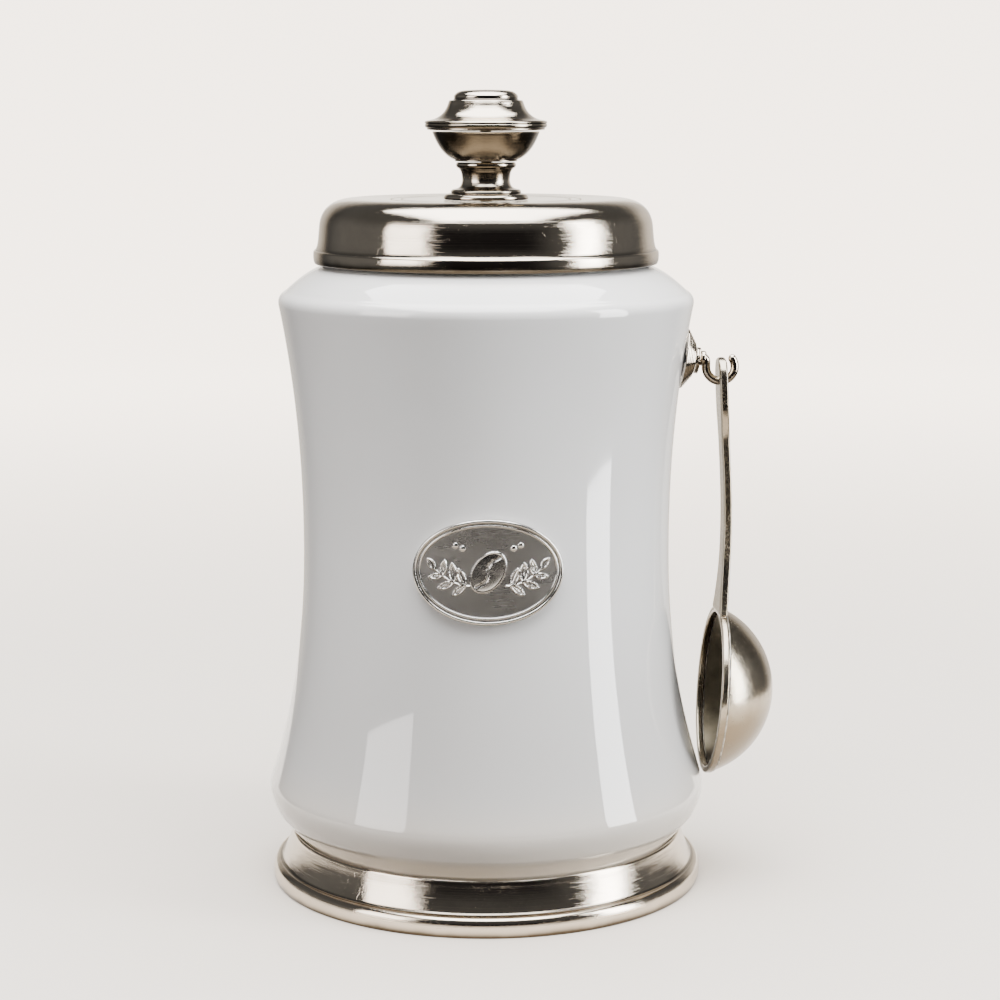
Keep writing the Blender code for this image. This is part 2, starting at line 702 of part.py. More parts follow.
def oval_plate(name, rings, material):
    """Closed plate from oval loops (inset, standoff), with both ends capped by a flat fan."""
    facets = MEDIUM
    shape = bmesh.new()
    loops = [label_ring(shape, inset, standoff, facets) for inset, standoff in rings]
    for lower, upper in zip(loops, loops[1:]):
        for index in range(facets):
            following = (index + 1) % facets
            shape.faces.new((lower[index], lower[following], upper[following], upper[index]))
    for loop, (_, standoff) in ((loops[0], rings[0]), (loops[-1], rings[-1])):
        radius = wall_radius(LABEL_HEIGHT) + standoff
        middle = shape.verts.new((0.0, -radius, LABEL_HEIGHT))
        for index in range(facets):
            shape.faces.new((loop[index], loop[(index + 1) % facets], middle))
    add_object(name, shape, material)


def make_label():
    """Oval plate with a raised border and a recess behind it that holds the adhesive pad."""
    back = GAP
    pocket = back + PAD_THICKNESS + 2 * GAP
    front = back + LABEL_THICKNESS
    field = front - LABEL_FIELD_RECESS
    pocket_inset = LABEL_BORDER + GAP
    shares = (0.85, 0.6, 0.3)
    rings = [(LABEL_HALF_HEIGHT * share, pocket) for share in shares[:-1]]
    rings += [(pocket_inset, pocket), (pocket_inset, back), (0.0003, back), (0.0, back + 0.0006)]
    rings += [(0.0005, front), (0.0012, front), (0.0018, front - 0.0005), (LABEL_BORDER, field)]
    rings += [(LABEL_HALF_HEIGHT * share, field) for share in shares[1::-1]]
    oval_plate("label_plate", rings, dark_pewter())
    inset = pocket_inset + 0.0006
    pad = [(LABEL_HALF_HEIGHT * 0.85, back), (LABEL_HALF_HEIGHT * 0.6, back), (inset, back)]
    pad += [(inset, back + PAD_THICKNESS), (LABEL_HALF_HEIGHT * 0.6, back + PAD_THICKNESS)]
    pad.append((LABEL_HALF_HEIGHT * 0.85, back + PAD_THICKNESS))
    oval_plate("label_pad", pad, adhesive())


# ---------------------------------------------------------------- lid and knob
def make_lid():
    """Pewter shell, plastic plug under it and the seal on the plug's collar."""
    turned("lid_shell", lid_outline(), LARGE, pewter())
    turned("lid_plug", plug_outline(), LARGE, plastic())
    turned("lid_seal", seal_outline(), LARGE, silicone())


def make_knob():
    """Three turned pieces on a stud, held by a washer and a nut under the plug."""
    seat = lid_top() + GAP
    cup_seat = seat + PEDESTAL_HEIGHT + GAP
    cap_seat = cup_seat + CUP_HEIGHT + GAP
    turned("knob_pedestal", pedestal_outline(), MEDIUM, pewter(), lift=seat)
    turned("knob_cup", cup_outline(), MEDIUM, pewter(), lift=cup_seat)
    turned("knob_cap", cap_outline(), MEDIUM, pewter(), lift=cap_seat)
    stud_low = plug_underside() - KNOB_STUD_REACH
    stud_high = cap_seat + CAP_HEIGHT - 0.0060 - 2 * GAP
    turned("knob_stud", disc_outline(KNOB_STUD_RADIUS, stud_low, stud_high), SMALL, steel())
    bore = KNOB_STUD_RADIUS + BORE_PLAY
    washer_high = plug_underside() - GAP
    washer_low = washer_high - WASHER_THICKNESS
    turned("knob_washer", disc_outline(WASHER_RADIUS, washer_low, washer_high, bore), SMALL, steel())
    nut_high = washer_low - GAP
    turned("knob_nut", disc_outline(NUT_RADIUS, nut_high - NUT_HEIGHT, nut_high, bore), 6, steel())


# ---------------------------------------------------------------- hook
def make_hook_axis():
    """Empty at the wall whose Z axis is the wall's outward normal."""
    height = hook_height()
    place = (wall_radius(height), 0.0, height)
    return empty("hook_axis", place, (0.0, math.pi / 2 + wall_tilt(height), 0.0))


def make_hook(axis):
    """Rosette, boss and their fastening through the wall, and the bent rod."""
    bore = HOOK_STUD_RADIUS + BORE_PLAY
    gasket = disc_outline(GASKET_RADIUS, GAP, GAP + GASKET_THICKNESS + hook_lift(), bore)
    turned("hook_gasket", gasket, SMALL, silicone(), axis)
    turned("hook_rosette", rosette_outline(), MEDIUM, pewter(), axis)
    turned("hook_boss", boss_outline(), SMALL, pewter(), axis)
    inner_face = -JAR_WALL - GAP - 0.0004
    washer_low = inner_face - INNER_WASHER_THICKNESS
    nut_high = washer_low - GAP
    nut_low = nut_high - INNER_NUT_HEIGHT
    washer = disc_outline(INNER_WASHER_RADIUS, washer_low, inner_face, bore)
    turned("hook_washer", washer, SMALL, silicone(), axis)
    turned("hook_nut", disc_outline(INNER_NUT_RADIUS, nut_low, nut_high, bore), 6, steel(), axis)
    stud_high = boss_face() - 0.0004 - GAP
    turned("hook_stud", disc_outline(HOOK_STUD_RADIUS, nut_low - 0.0008, stud_high), 16, steel(), axis)
    make_hook_arm()


def make_hook_arm():
    """Round rod along the hook's path, as a bevelled curve with closed ends."""
    path = hook_path()
    curve = bpy.data.curves.new("hook_arm", "CURVE")
    curve.dimensions = "3D"
    curve.bevel_depth = ROD_RADIUS
    curve.bevel_resolution = 3
    curve.use_fill_caps = True
    spline = curve.splines.new("POLY")
    spline.points.add(len(path) - 1)
    for point, (x, z) in zip(spline.points, path):
        point.co = (x, 0.0, z, 1.0)
    spline.use_smooth = True
    curve.materials.append(pewter())
    arm = bpy.data.objects.new("hook_arm", curve)
    bpy.context.scene.collection.objects.link(arm)


# ---------------------------------------------------------------- scoop
def handle_section(shape, depth):
    """Eight corners of the handle's section at a depth below its upper end."""
    half = handle_half_width(depth)
    thick = 0.5 * HANDLE_THICKNESS
    soft = 0.35 * thick
    middle = handle_centre_line(depth)
    height = handle_top() - depth
    corners = [(half, thick - soft), (half - soft, thick), (soft - half, thick), (-half, thick - soft),
               (-half, soft - thick), (soft - half, -thick), (half - soft, -thick), (half, soft - thick)]
    return [shape.verts.new((middle + out, across, height)) for across, out in corners]


def make_handle(pivot):
    """Flat handle in one piece with the rim ring: strap, ring, mouth and eye."""
    depths = [0.0, 0.0012, 0.0030, 0.5 * HANDLE_TOP_WIDTH]
    depths += spaced(EYE_BAR + EYE_LENGTH, HANDLE_LENGTH - 0.0220, 7)
    depths += spaced(HANDLE_LENGTH - 0.0180, HANDLE_LENGTH + 0.0010, 6)
    shape = bmesh.new()
    sections = [handle_section(shape, depth) for depth in depths]
    for upper, lower in zip(sections, sections[1:]):
        for index in range(8):
            following = (index + 1) % 8
            shape.faces.new((upper[index], upper[following], lower[following], lower[index]))
    shape.faces.new(sections[0])
    shape.faces.new(sections[-1])
    handle = add_object("scoop_handle", shape, worn_pewter(), pivot)

    rim_x, rim_z = rim_centre()
    rim_axis = empty("rim_axis", (rim_x, 0.0, rim_z), (0.0, math.pi / 2 + RIM_TILT, 0.0))
    rim_axis.parent = pivot
    half = 0.5 * RIM_BAND
    inner = RIM_RADIUS - RIM_WIDTH
    soft = 0.0004
    band = [(inner, half), (RIM_RADIUS - soft, half), (RIM_RADIUS, half - soft)]
    band += [(RIM_RADIUS, soft - half), (RIM_RADIUS - soft, -half), (inner, -half)]
    combine(handle, turned("rim_ring_guide", band, LARGE, worn_pewter(), rim_axis), "UNION")
    mouth = disc_outline(inner, -3 * half, 3 * half)
    combine(handle, turned("mouth_cutter", mouth, LARGE, worn_pewter(), rim_axis), "DIFFERENCE")
    combine(handle, make_eye_cutter(pivot), "DIFFERENCE")
    return rim_axis


def make_eye_cutter(pivot):
    """Long slot with round ends, cut through the handle."""
    radius = 0.5 * EYE_WIDTH
    high = eye_top() - radius
    low = eye_top() - EYE_LENGTH + radius
    shape = bmesh.new()
    outline = []
    for centre, first in ((high, 0.0), (low, math.pi)):
        for angle in spaced(first, first + math.pi, 7):
            outline.append((radius * math.cos(angle), centre + radius * math.sin(angle)))
    reach = 2 * HANDLE_THICKNESS
    front = [shape.verts.new((reach, across, height)) for across, height in outline]
    back = [shape.verts.new((-reach, across, height)) for across, height in outline]
    count = len(outline)
    for index in range(count):
        following = (index + 1) % count
        shape.faces.new((front[index], front[following], back[following], back[index]))
    shape.faces.new(front)
    shape.faces.new(back)
    return add_object("eye_cutter", shape, worn_pewter(), pivot)


def make_bowl(rim_axis):
    """Round bowl behind the rim ring: two spherical caps with one centre, joined at the edge."""
    start = 0.5 * RIM_BAND + GAP
    outer = (BOWL_RIM_RADIUS ** 2 + BOWL_DEPTH ** 2) / (2 * BOWL_DEPTH)
    centre = start + BOWL_DEPTH - outer
    inner = outer - BOWL_WALL
    outline = []
    for radius, steps in ((outer, 8), (inner, 7)):
        edge = math.acos((start - centre) / radius)
        arc = [(radius * math.sin(angle), centre + radius * math.cos(angle))
               for angle in spaced(0.0, edge, steps)]
        outline.append(arc)
    turned("scoop_bowl", outline[0] + outline[1][::-1], MEDIUM, worn_pewter(), rim_axis)


def make_scoop():
    """Scoop hanging from its pivot, leaning until its rim rests beside the jar."""
    pivot_x, pivot_z = scoop_pivot()
    pivot = empty("scoop_pivot", (pivot_x, 0.0, pivot_z), (0.0, -rest_lean(), SCOOP_YAW))
    make_bowl(make_handle(pivot))


def build():
    """Make every piece."""
    clear_scene()
    hook_axis = make_hook_axis()
    make_jar(hook_axis)
    make_foot()
    make_label()
    make_lid()
    make_knob()
    make_hook(hook_axis)
    make_scoop()


build()
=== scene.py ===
"""Looks of the ceramic coffee jar with pewter lid, foot ring, label, hook and hanging scoop.

Shapes are surfaces of two parameters on a grid: turned outlines, tubes along a path, and an oval plate
with a relief. Outlines are in millimetres as (radius, height); meshes are in metres.
"""
import json
import math

import bmesh
import bpy
import numpy as np
from mathutils import Matrix, Vector


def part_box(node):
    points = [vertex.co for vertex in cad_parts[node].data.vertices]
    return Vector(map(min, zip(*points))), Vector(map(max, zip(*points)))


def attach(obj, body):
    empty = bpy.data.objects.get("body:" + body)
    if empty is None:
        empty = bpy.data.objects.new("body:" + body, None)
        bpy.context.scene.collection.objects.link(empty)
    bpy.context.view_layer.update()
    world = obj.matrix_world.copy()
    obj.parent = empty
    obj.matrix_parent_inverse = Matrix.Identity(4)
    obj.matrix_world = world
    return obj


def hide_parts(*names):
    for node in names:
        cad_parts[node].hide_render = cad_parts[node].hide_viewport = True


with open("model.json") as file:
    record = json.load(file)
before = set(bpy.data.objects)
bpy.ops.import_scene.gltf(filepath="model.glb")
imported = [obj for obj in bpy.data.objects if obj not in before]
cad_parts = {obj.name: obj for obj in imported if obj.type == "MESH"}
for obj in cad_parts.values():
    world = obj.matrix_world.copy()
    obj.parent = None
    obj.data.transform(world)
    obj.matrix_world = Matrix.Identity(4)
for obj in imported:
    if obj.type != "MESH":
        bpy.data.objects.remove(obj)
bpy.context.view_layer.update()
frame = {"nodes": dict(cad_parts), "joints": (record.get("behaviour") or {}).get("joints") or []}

MM = 0.001
TURN = 2 * math.pi

# ---------------------------------------------------------------- sizes of the jar, millimetres
BODY_HEIGHT = 201.8
SHOULDER_RADIUS = 70.7
WAIST_HEIGHT = 118.0
WAIST_RADIUS = 62.6
BULGE_HEIGHT = 31.3
BULGE_RADIUS = 76.1
UPPER_FLARE = 2.1
LOWER_FLARE = 2.2
JAR_WALL = 5.0
NECK_RADIUS = 53.5
NECK_BORE = 47.5
STUD_BORE = 2.3
HOOK_BORE = 1.8
NECK_HEIGHT = 15.6
LID_SHEET = 1.8                 # thickness of the lid's metal
LID_RINGS = (28.5, 32.0)        # radii of the fine rings on its top
CUP_RADIUS = 18.0
BUTTON_RADIUS = 10.8

# label plate
LABEL_HALF_WIDTH = 24.0
LABEL_BORDER = 2.75
FIELD_STANDOFF = 1.85           # of its field from the wall

# hook
HOOK_BELOW_SHOULDER = 22.0
HOOK_DROP = 2.9                 # centre of the hook below the axis of the rosette
HOOK_RADIUS = 4.9
ROD_RADIUS = 1.5
ROD_BEND_RADIUS = 1.7
ROD_RISE = 1.4                  # root of the rod above that axis
ROD_REACH = 0.6                 # start of the rod's bend in front of the boss
ROSETTE_DEPTH = 4.1
ROSETTE_BEADS = 5
BEAD_STEP = (0.98, 0.66)        # outwards and down from one bead to the next
BOSS_FACE = ROSETTE_DEPTH + 1.7
BOSS_DEPTH = 1.4

# scoop
SCOOP_YAW = math.radians(2.2)
REST_LEAN = math.radians(0.418)
RIM_TILT = math.radians(5.1)
RIM_RADIUS = 29.1
RIM_WIDTH = 2.3
RIM_BAND = 2.4
HANDLE_TOP = 8.2                # above the pivot
HANDLE_LENGTH = 86.9
HANDLE_HALF_THICKNESS = 1.46
HANDLE_HALF_WIDTHS = (7.0, 5.3, 9.6)    # at the eye, the grip and the rim
HANDLE_FLARE = 22.0             # length of the part that widens into the rim
HANDLE_BOW = 1.9
HANDLE_BOW_POWER = 1.5
HANDLE_DRIFT = 0.3
EYE_BAR = 5.9                   # metal above the eye
EYE_LENGTH = 10.5
EYE_WIDTH = 6.2
BOWL_RIM = 28.3
BOWL_DEPTH = 19.15
BOWL_WALL = 1.2


# ---------------------------------------------------------------- outlines
def straight(*points):
    """Points of a polyline, as an array."""
    return np.array(points, float)


def bend(start, control, end, steps=16):
    """Quadratic curve (1-t)^2 start + 2t(1-t) control + t^2 end, without its start point."""
    t = np.linspace(0, 1, steps + 1)[1:, None]
    return (1 - t) ** 2 * np.array(start) + 2 * t * (1 - t) * np.array(control) + t ** 2 * np.array(end)


def arc(centre, radius, first, last, steps=16):
    """Circular arc around centre from angle first to last, in degrees."""
    angle = np.radians(np.linspace(first, last, steps))
    return np.stack([centre[0] + radius * np.cos(angle), centre[1] + radius * np.sin(angle)], 1)


def softened(corners, closed=True, steps=7):
    """Polyline of (radius, height, reach) whose corners are replaced by quadratic curves.

    Each curve starts and ends at its reach from the corner, at most half way to the neighbour."""
    data = np.array(corners, float)
    points, reach = data[:, :2], data[:, 2:]
    before = np.roll(points, 1, 0) - points
    after = np.roll(points, -1, 0) - points
    if not closed:
        reach = reach.copy()
        reach[0] = reach[-1] = 0
    size_before = np.linalg.norm(before, axis=1, keepdims=True)
    size_after = np.linalg.norm(after, axis=1, keepdims=True)
    start = points + before / size_before * np.minimum(reach, 0.49 * size_before)
    end = points + after / size_after * np.minimum(reach, 0.49 * size_after)
    t = np.linspace(0, 1, steps)[None, :, None]
    curves = (1 - t) ** 2 * start[:, None] + 2 * t * (1 - t) * points[:, None] + t ** 2 * end[:, None]
    merged = curves.reshape(-1, 2)
    keep = np.r_[True, np.linalg.norm(np.diff(merged, axis=0), axis=1) > 1e-4]
    return merged[keep]


def resampled(outline, spacing):
    """Adds points on the outline's long straight stretches, so that none is longer than spacing."""
    gaps = np.linalg.norm(np.diff(outline, axis=0), axis=1)
    counts = np.maximum(1, np.ceil(gaps / spacing).astype(int))
    stretch = np.repeat(np.arange(len(gaps)), counts)
    first = np.repeat(np.cumsum(counts) - counts, counts)
    share = (np.arange(counts.sum()) - first) / counts[stretch]
    inner = outline[stretch] + (outline[stretch + 1] - outline[stretch]) * share[:, None]
    return np.vstack([inner, outline[-1:]])


def rounded(corners, spacing, closed=True):
    """Softened corners with their straight stretches divided."""
    return resampled(softened(corners, closed), spacing)


def wall_radius(height):
    """Outer radius of the wall: waist plus a power of the share of the way to shoulder or bulge."""
    height = np.asarray(height, float)
    up = np.clip((height - WAIST_HEIGHT) / (BODY_HEIGHT - WAIST_HEIGHT), 0, None)
    down = np.clip((WAIST_HEIGHT - height) / (WAIST_HEIGHT - BULGE_HEIGHT), 0, None)
    above = (SHOULDER_RADIUS - WAIST_RADIUS) * up ** UPPER_FLARE
    return WAIST_RADIUS + above + (BULGE_RADIUS - WAIST_RADIUS) * down ** LOWER_FLARE


def wall_run(first, last, inset=0.0, steps=90):
    """Stretch of the wall's outline between two heights, moved in by inset."""
    height = np.linspace(first, last, steps)
    return np.stack([wall_radius(height) - inset, height], 1)


def size_of(node):
    """Half width and lowest and highest point of a CAD node, in millimetres."""
    low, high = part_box(node)
    return (high.x - low.x) / 2 / MM, low.z / MM, high.z / MM


# ---------------------------------------------------------------- surfaces
def outline_facts(outline, looped):
    """Distance along an outline, and how hollow and how sharp it is at each point, from its turning."""
    pad = (1, 1)
    ring = np.pad(outline, (pad, (0, 0)), mode="wrap" if looped else "edge")
    step_in = ring[1:-1] - ring[:-2]
    step_out = ring[2:] - ring[1:-1]
    size_in = np.linalg.norm(step_in, axis=1)
    size_out = np.linalg.norm(step_out, axis=1)
    cross = step_in[:, 0] * step_out[:, 1] - step_in[:, 1] * step_out[:, 0]
    turning = np.arcsin(np.clip(cross / np.maximum(size_in * size_out, 1e-9), -1, 1))
    bend_rate = turning / np.maximum(0.5 * (size_in + size_out), 0.05)
    kernel = np.array([1, 2, 3, 2, 1]) / 9.0
    smooth = np.convolve(np.pad(bend_rate, 2, mode="edge"), kernel, mode="valid")
    track = np.r_[0, np.cumsum(np.linalg.norm(np.diff(outline, axis=0), axis=1))]
    return track, np.clip(-0.7 * smooth, 0, 1), np.clip(0.4 * smooth, 0, 1)


def add_attribute(mesh, name, values):
    """Point attribute from an array of any shape."""
    values = np.asarray(values, np.float32).ravel()
    mesh.attributes.new(name, "FLOAT", "POINT").data.foreach_set("value", values)


def point_array(mesh, kind):
    """Coordinates ("co") or normals ("normal") of a mesh's points, one row each."""
    values = np.zeros(len(mesh.vertices) * 3, np.float32)
    mesh.vertices.foreach_get(kind, values)
    return values.reshape(-1, 3)


def mesh_object(name, points, faces, facts):
    """Object at the origin from arrays of points (metres) and faces, smooth, with point attributes."""
    mesh = bpy.data.meshes.new(name)
    mesh.from_pydata(points.reshape(-1, 3), [], [row for part in faces for row in part.tolist()])
    for key, values in facts.items():
        add_attribute(mesh, key, values)
    mesh.validate()
    mesh.shade_smooth()
    mesh.set_sharp_from_angle(angle=math.radians(38))
    piece = bpy.data.objects.new(name, mesh)
    bpy.context.scene.collection.objects.link(piece)
    return piece


def frame_at(origin, axis):
    """Matrix that carries the Z axis onto an axis and the origin onto a point (millimetres)."""
    turn = Vector((0, 0, 1)).rotation_difference(Vector(axis)).to_matrix().to_4x4()
    return Matrix.Translation(Vector(origin)) @ turn


def moved(points, place):
    """Points of shape (..., 3) carried by a 4 x 4 matrix."""
    matrix = np.array(place)
    return points @ matrix[:3, :3].T + matrix[:3, 3]


def turned(name, outline, around=180, place=None, ripple=None):
    """Surface of revolution: (r cos a, r sin a, h) over an even grid of turns a and points (r, h).

    The outline is a loop, or starts and ends on the axis, where the surface closes in a fan."""
    r, h = outline.T
    if np.sum(r * np.roll(h, -1) - np.roll(r, -1) * h) < 0:
        outline = outline[::-1]
        r, h = outline.T
    looped = r[0] > 1e-6 or r[-1] > 1e-6
    angle = np.arange(around)[:, None] * TURN / around
    radius = np.broadcast_to(r, (around, len(r)))
    if ripple is not None:
        radius = radius + ripple(angle, h[None, :], radius)
    points = np.stack([radius * np.cos(angle), radius * np.sin(angle), np.broadcast_to(h, radius.shape)], 2)
    if place is not None:
        points = moved(points, place)
    count = len(r)
    index = np.arange(around * count).reshape(around, count)
    track, hollow, edge = outline_facts(outline, looped)
    facts = {"track": track, "hollow": hollow, "edge": edge}
    spread = {key: np.broadcast_to(values, (around, count)) for key, values in facts.items()}
    following = np.roll(index, -1, 0)
    if looped:
        near, far = index, np.roll(index, -1, 1)
        near_next, far_next = following, np.roll(following, -1, 1)
        quads = np.stack([near, near_next, far_next, far], 2).reshape(-1, 4)
        return mesh_object(name, points * MM, [quads], spread)
    inner = slice(1, count - 2)
    quads = np.stack([index[:, inner], following[:, inner], following[:, 2:-1], index[:, 2:-1]], 2)
    first_pole, last_pole = index[0, 0], index[0, -1]
    start_fan = np.stack([np.full(around, first_pole), following[:, 1], index[:, 1]], 1)
    end_fan = np.stack([index[:, -2], following[:, -2], np.full(around, last_pole)], 1)
    piece = mesh_object(name, points * MM, [quads.reshape(-1, 4), start_fan, end_fan], spread)
    drop_loose(piece.data)
    return piece


def drop_loose(mesh):
    """Removes the unused copies of the pole points."""
    used = np.zeros(len(mesh.vertices), bool)
    corners = np.zeros(len(mesh.loops), np.int32)
    mesh.loops.foreach_get("vertex_index", corners)
    used[corners] = True
    shape = bmesh.new()
    shape.from_mesh(mesh)
    bmesh.ops.delete(shape, geom=[v for v in shape.verts if not v.link_faces], context="VERTS")
    shape.to_mesh(mesh)
    shape.free()


def tube(name, path, radius, around=28):
    """Skin around a path in the XZ plane: centre + radius (cos a N + sin a Y), N at right angles to it.

    The radius changes along the path and ends at zero, so both ends close in a point."""
    step = np.gradient(path, axis=0)
    step /= np.linalg.norm(step, axis=1, keepdims=True)
    normal = np.stack([-step[:, 1], np.zeros(len(path)), step[:, 0]], 1)
    centre = np.stack([path[:, 0], np.zeros(len(path)), path[:, 1]], 1)
    angle = np.arange(around) * TURN / around
    across = np.array([0.0, 1.0, 0.0])
    ring = np.cos(angle)[:, None, None] * normal + np.sin(angle)[:, None, None] * across
    points = centre + radius[None, :, None] * ring
    track = np.r_[0, np.cumsum(np.linalg.norm(np.diff(path, axis=0), axis=1))]
    return skin(name, points, track)


def skin(name, points, track):
    """Closed skin from a grid (around, along, 3) whose first and last rows are single points."""
    around, along = points.shape[:2]
    index = np.arange(around * along).reshape(around, along)
    following = np.roll(index, -1, 0)
    quads = np.stack([index[:, 1:-2], index[:, 2:-1], following[:, 2:-1], following[:, 1:-2]], 2)
    start = np.stack([np.full(around, index[0, 0]), index[:, 1], following[:, 1]], 1)
    end = np.stack([index[:, -2], np.full(around, index[0, -1]), following[:, -2]], 1)
    facts = {"track": np.broadcast_to(track, (around, along)), "hollow": np.zeros((around, along)),
             "edge": np.zeros((around, along))}
    piece = mesh_object(name, points * MM, [quads.reshape(-1, 4), start, end], facts)
    drop_loose(piece.data)
    return piece


# ---------------------------------------------------------------- outlines of the turned pieces
def jar_outline():
    """Foot, bulge, waisted wall, crown, neck with rolled rim, and the inside down to the floor."""
    seat, rim = size_of("jar_body")[1:]
    root = rim - NECK_HEIGHT
    foot_top = seat + 9.5
    under = (BULGE_RADIUS - 3.2, BULGE_HEIGHT - 6.4)
    bulge = (float(wall_radius(BULGE_HEIGHT + 3)), BULGE_HEIGHT + 3)
    shoulder = (float(wall_radius(BODY_HEIGHT - 3)), BODY_HEIGHT - 3)
    crown_start = (SHOULDER_RADIUS - 0.8, BODY_HEIGHT - 0.8)
    crown = bend(crown_start, (NECK_RADIUS + 7.2, root - 1.4), (NECK_RADIUS, root), 32)
    parts = [softened([(0, seat, 0), (64.3, seat, 1.2), (64.3, foot_top, 2), (*under, 0)], False)]
    parts.append(bend(under, (BULGE_RADIUS - 0.45, BULGE_HEIGHT - 0.8), bulge, 24))
    parts.append(wall_run(bulge[1], shoulder[1])[1:])
    parts.append(bend(shoulder, (SHOULDER_RADIUS - 0.2, BODY_HEIGHT), crown[3], 14))
    parts.append(crown[4:-1])
    wall_top, wall_bottom, floor = BODY_HEIGHT - 8, BULGE_HEIGHT + 4.5, seat + 6
    upper = (float(wall_radius(wall_top)) - JAR_WALL, wall_top)
    lower = (float(wall_radius(wall_bottom)) - JAR_WALL, wall_bottom)
    parts.append(softened([(NECK_RADIUS, root, 1), (NECK_RADIUS, rim, 2.4), (NECK_BORE, rim, 2.4),
                           (NECK_BORE, root - 3.5, 0)], False))
    parts.append(bend((NECK_BORE, root - 3.5), (NECK_BORE + 10, root - 6.5), upper, 16))
    parts.append(wall_run(wall_top, wall_bottom, JAR_WALL, 60)[1:])
    parts.append(bend(lower, (lower[0] - 5, floor + 1.5), (lower[0] - 19.5, floor), 16))
    parts.append(straight((0, floor)))
    return resampled(np.vstack(parts), 3.0)


def foot_ring_outline():
    """Cove that opens downwards, crease, rolled edge, and the stepped inside."""
    radius, _, top = size_of("foot_ring")
    inner, recess, seat = 65.9, 2.3, 4.7
    parts = [straight((66.95, top), (67.3, top - 0.05), (67.6, top - 0.4))]
    parts.append(bend((67.6, top - 0.4), (68.9, 11.6), (71.0, 7.5), 30))
    parts.append(softened([(71.0, 7.5, 0), (71.35, 7.0, 0.2), (71.9, 6.75, 0.25), (72.3, 6.75, 0)], False))
    parts.append(bend((72.3, 6.75), (74.35, 6.2), (radius, 2.6), 24))
    parts.append(bend((radius, 2.6), (radius, 0.9), (73.9, 0.0), 12))
    parts.append(softened([(73.9, 0, 0.2), (inner + 0.4, 0, 0.2), (inner + 0.4, recess, 0.2),
                           (59.9, recess, 0.2), (59.9, seat, 0.2), (inner, seat, 0.2),
                           (inner, 14.7, 0.3), (66.95, top, 0)], False)[1:-1])
    return resampled(np.vstack(parts), 1.5)


def lid_outline():
    """Dished top with two fine rings, round corner, skirt, cove and bead, and the inside."""
    bead, bottom, edge_height = size_of("lid_shell")
    skirt = bead - 1.6
    top = edge_height - 0.8
    corner_start = (skirt - 12.7, edge_height)
    side = (skirt - 0.5, edge_height - 9.5)
    rings = []
    for radius in LID_RINGS:
        height = top + 0.4
        rings += [(radius - 0.4, height, 0.1), (radius - 0.2, height - 0.5, 0.1),
                  (radius + 0.15, height - 0.5, 0.1), (radius + 0.35, height, 0.1)]
    surface = [(STUD_BORE, top, 0), (22.0, top + 0.25, 8), *rings, (38.0, edge_height - 0.15, 6),
               (*corner_start, 0)]
    parts = [softened(surface, False, 5)]
    parts.append(bend(corner_start, (skirt - 1.3, edge_height), side, 36))
    cove = [(*side, 0), (skirt - 0.05, bottom + 7.6, 2.2), (skirt + 0.45, bottom + 5.6, 0.7),
            (bead - 0.75, bottom + 5.0, 0.25), (bead - 0.15, bottom + 4.6, 0.45), (bead, bottom + 3.2, 0.9),
            (bead - 0.1, bottom + 1.5, 0.9), (bead - 0.5, bottom + 0.3, 0.4), (skirt - 1.2, bottom, 0.3),
            (skirt - LID_SHEET, bottom + 6, 2), (side[0] - LID_SHEET, side[1], 0)]
    parts.append(softened(cove, False)[1:])
    parts.append(bend((side[0] - LID_SHEET, side[1]), (skirt - 1.3 - LID_SHEET, edge_height - LID_SHEET),
                      (corner_start[0], edge_height - LID_SHEET), 16))
    parts.append(straight((STUD_BORE, top - LID_SHEET)))
    return resampled(np.vstack(parts), 1.5)


def plug_outline():
    """Hub, disc over the rim, and collar with the groove of the seal."""
    radius, foot, hub = size_of("lid_plug")
    top, under = hub - 1.0, hub - 3.3
    collar, groove = NECK_BORE - 0.9, NECK_BORE - 1.9
    corners = [(STUD_BORE, hub, 0.2), (14, hub, 0.4), (14, top, 0.4), (radius, top, 0.5),
               (radius, under, 0.4), (collar, under, 0.5), (collar, foot + 5.1, 0.2),
               (groove, foot + 5.1, 0.2), (groove, foot + 1.5, 0.2), (collar, foot + 1.5, 0.2),
               (collar, foot, 0.5), (collar - 3, foot, 0.5), (collar - 3, under, 1.2), (16, under, 0.6),
               (14, under + 0.4, 0.6), (STUD_BORE + 4, under, 0.4), (STUD_BORE, under, 0.2)]
    return rounded(corners, 1.5)


def seal_outline():
    """Ring with two soft lips on its outer face."""
    outer, low, high = size_of("lid_seal")
    inner, middle = outer - 1.3, 0.5 * (low + high)
    corners = [(inner, high, 0.2), (outer - 0.5, high, 0.3), (outer, middle + 0.8, 0.35),
               (outer - 0.45, middle, 0.4), (outer, middle - 0.8, 0.35), (outer - 0.5, low, 0.3),
               (inner, low, 0.2)]
    return softened(corners)


def pedestal_outline():
    """Top bead, waist, small ring and round foot of the knob."""
    foot, low, high = size_of("knob_pedestal")
    corners = [(STUD_BORE, high, 0), (9.7, high, 0.25), (10.2, high - 0.8, 0.5), (9.9, high - 1.7, 0.4),
               (9.1, high - 2.1, 0.3), (8.35, high - 3.2, 1.0), (8.0, high - 5.6, 1.6), (8.1, low + 5.6, 1.4),
               (8.8, low + 4.0, 0.9), (10.6, low + 3.45, 0.5), (11.3, low + 3.35, 0.3),
               (11.9, low + 2.75, 0.35), (11.7, low + 2.2, 0.2), (12.5, low + 2.05, 0.25),
               (13.9, low + 1.7, 0.7), (foot, low + 0.6, 0.6), (foot - 0.3, low, 0.2), (STUD_BORE, low, 0)]
    return rounded(corners, 0.8)


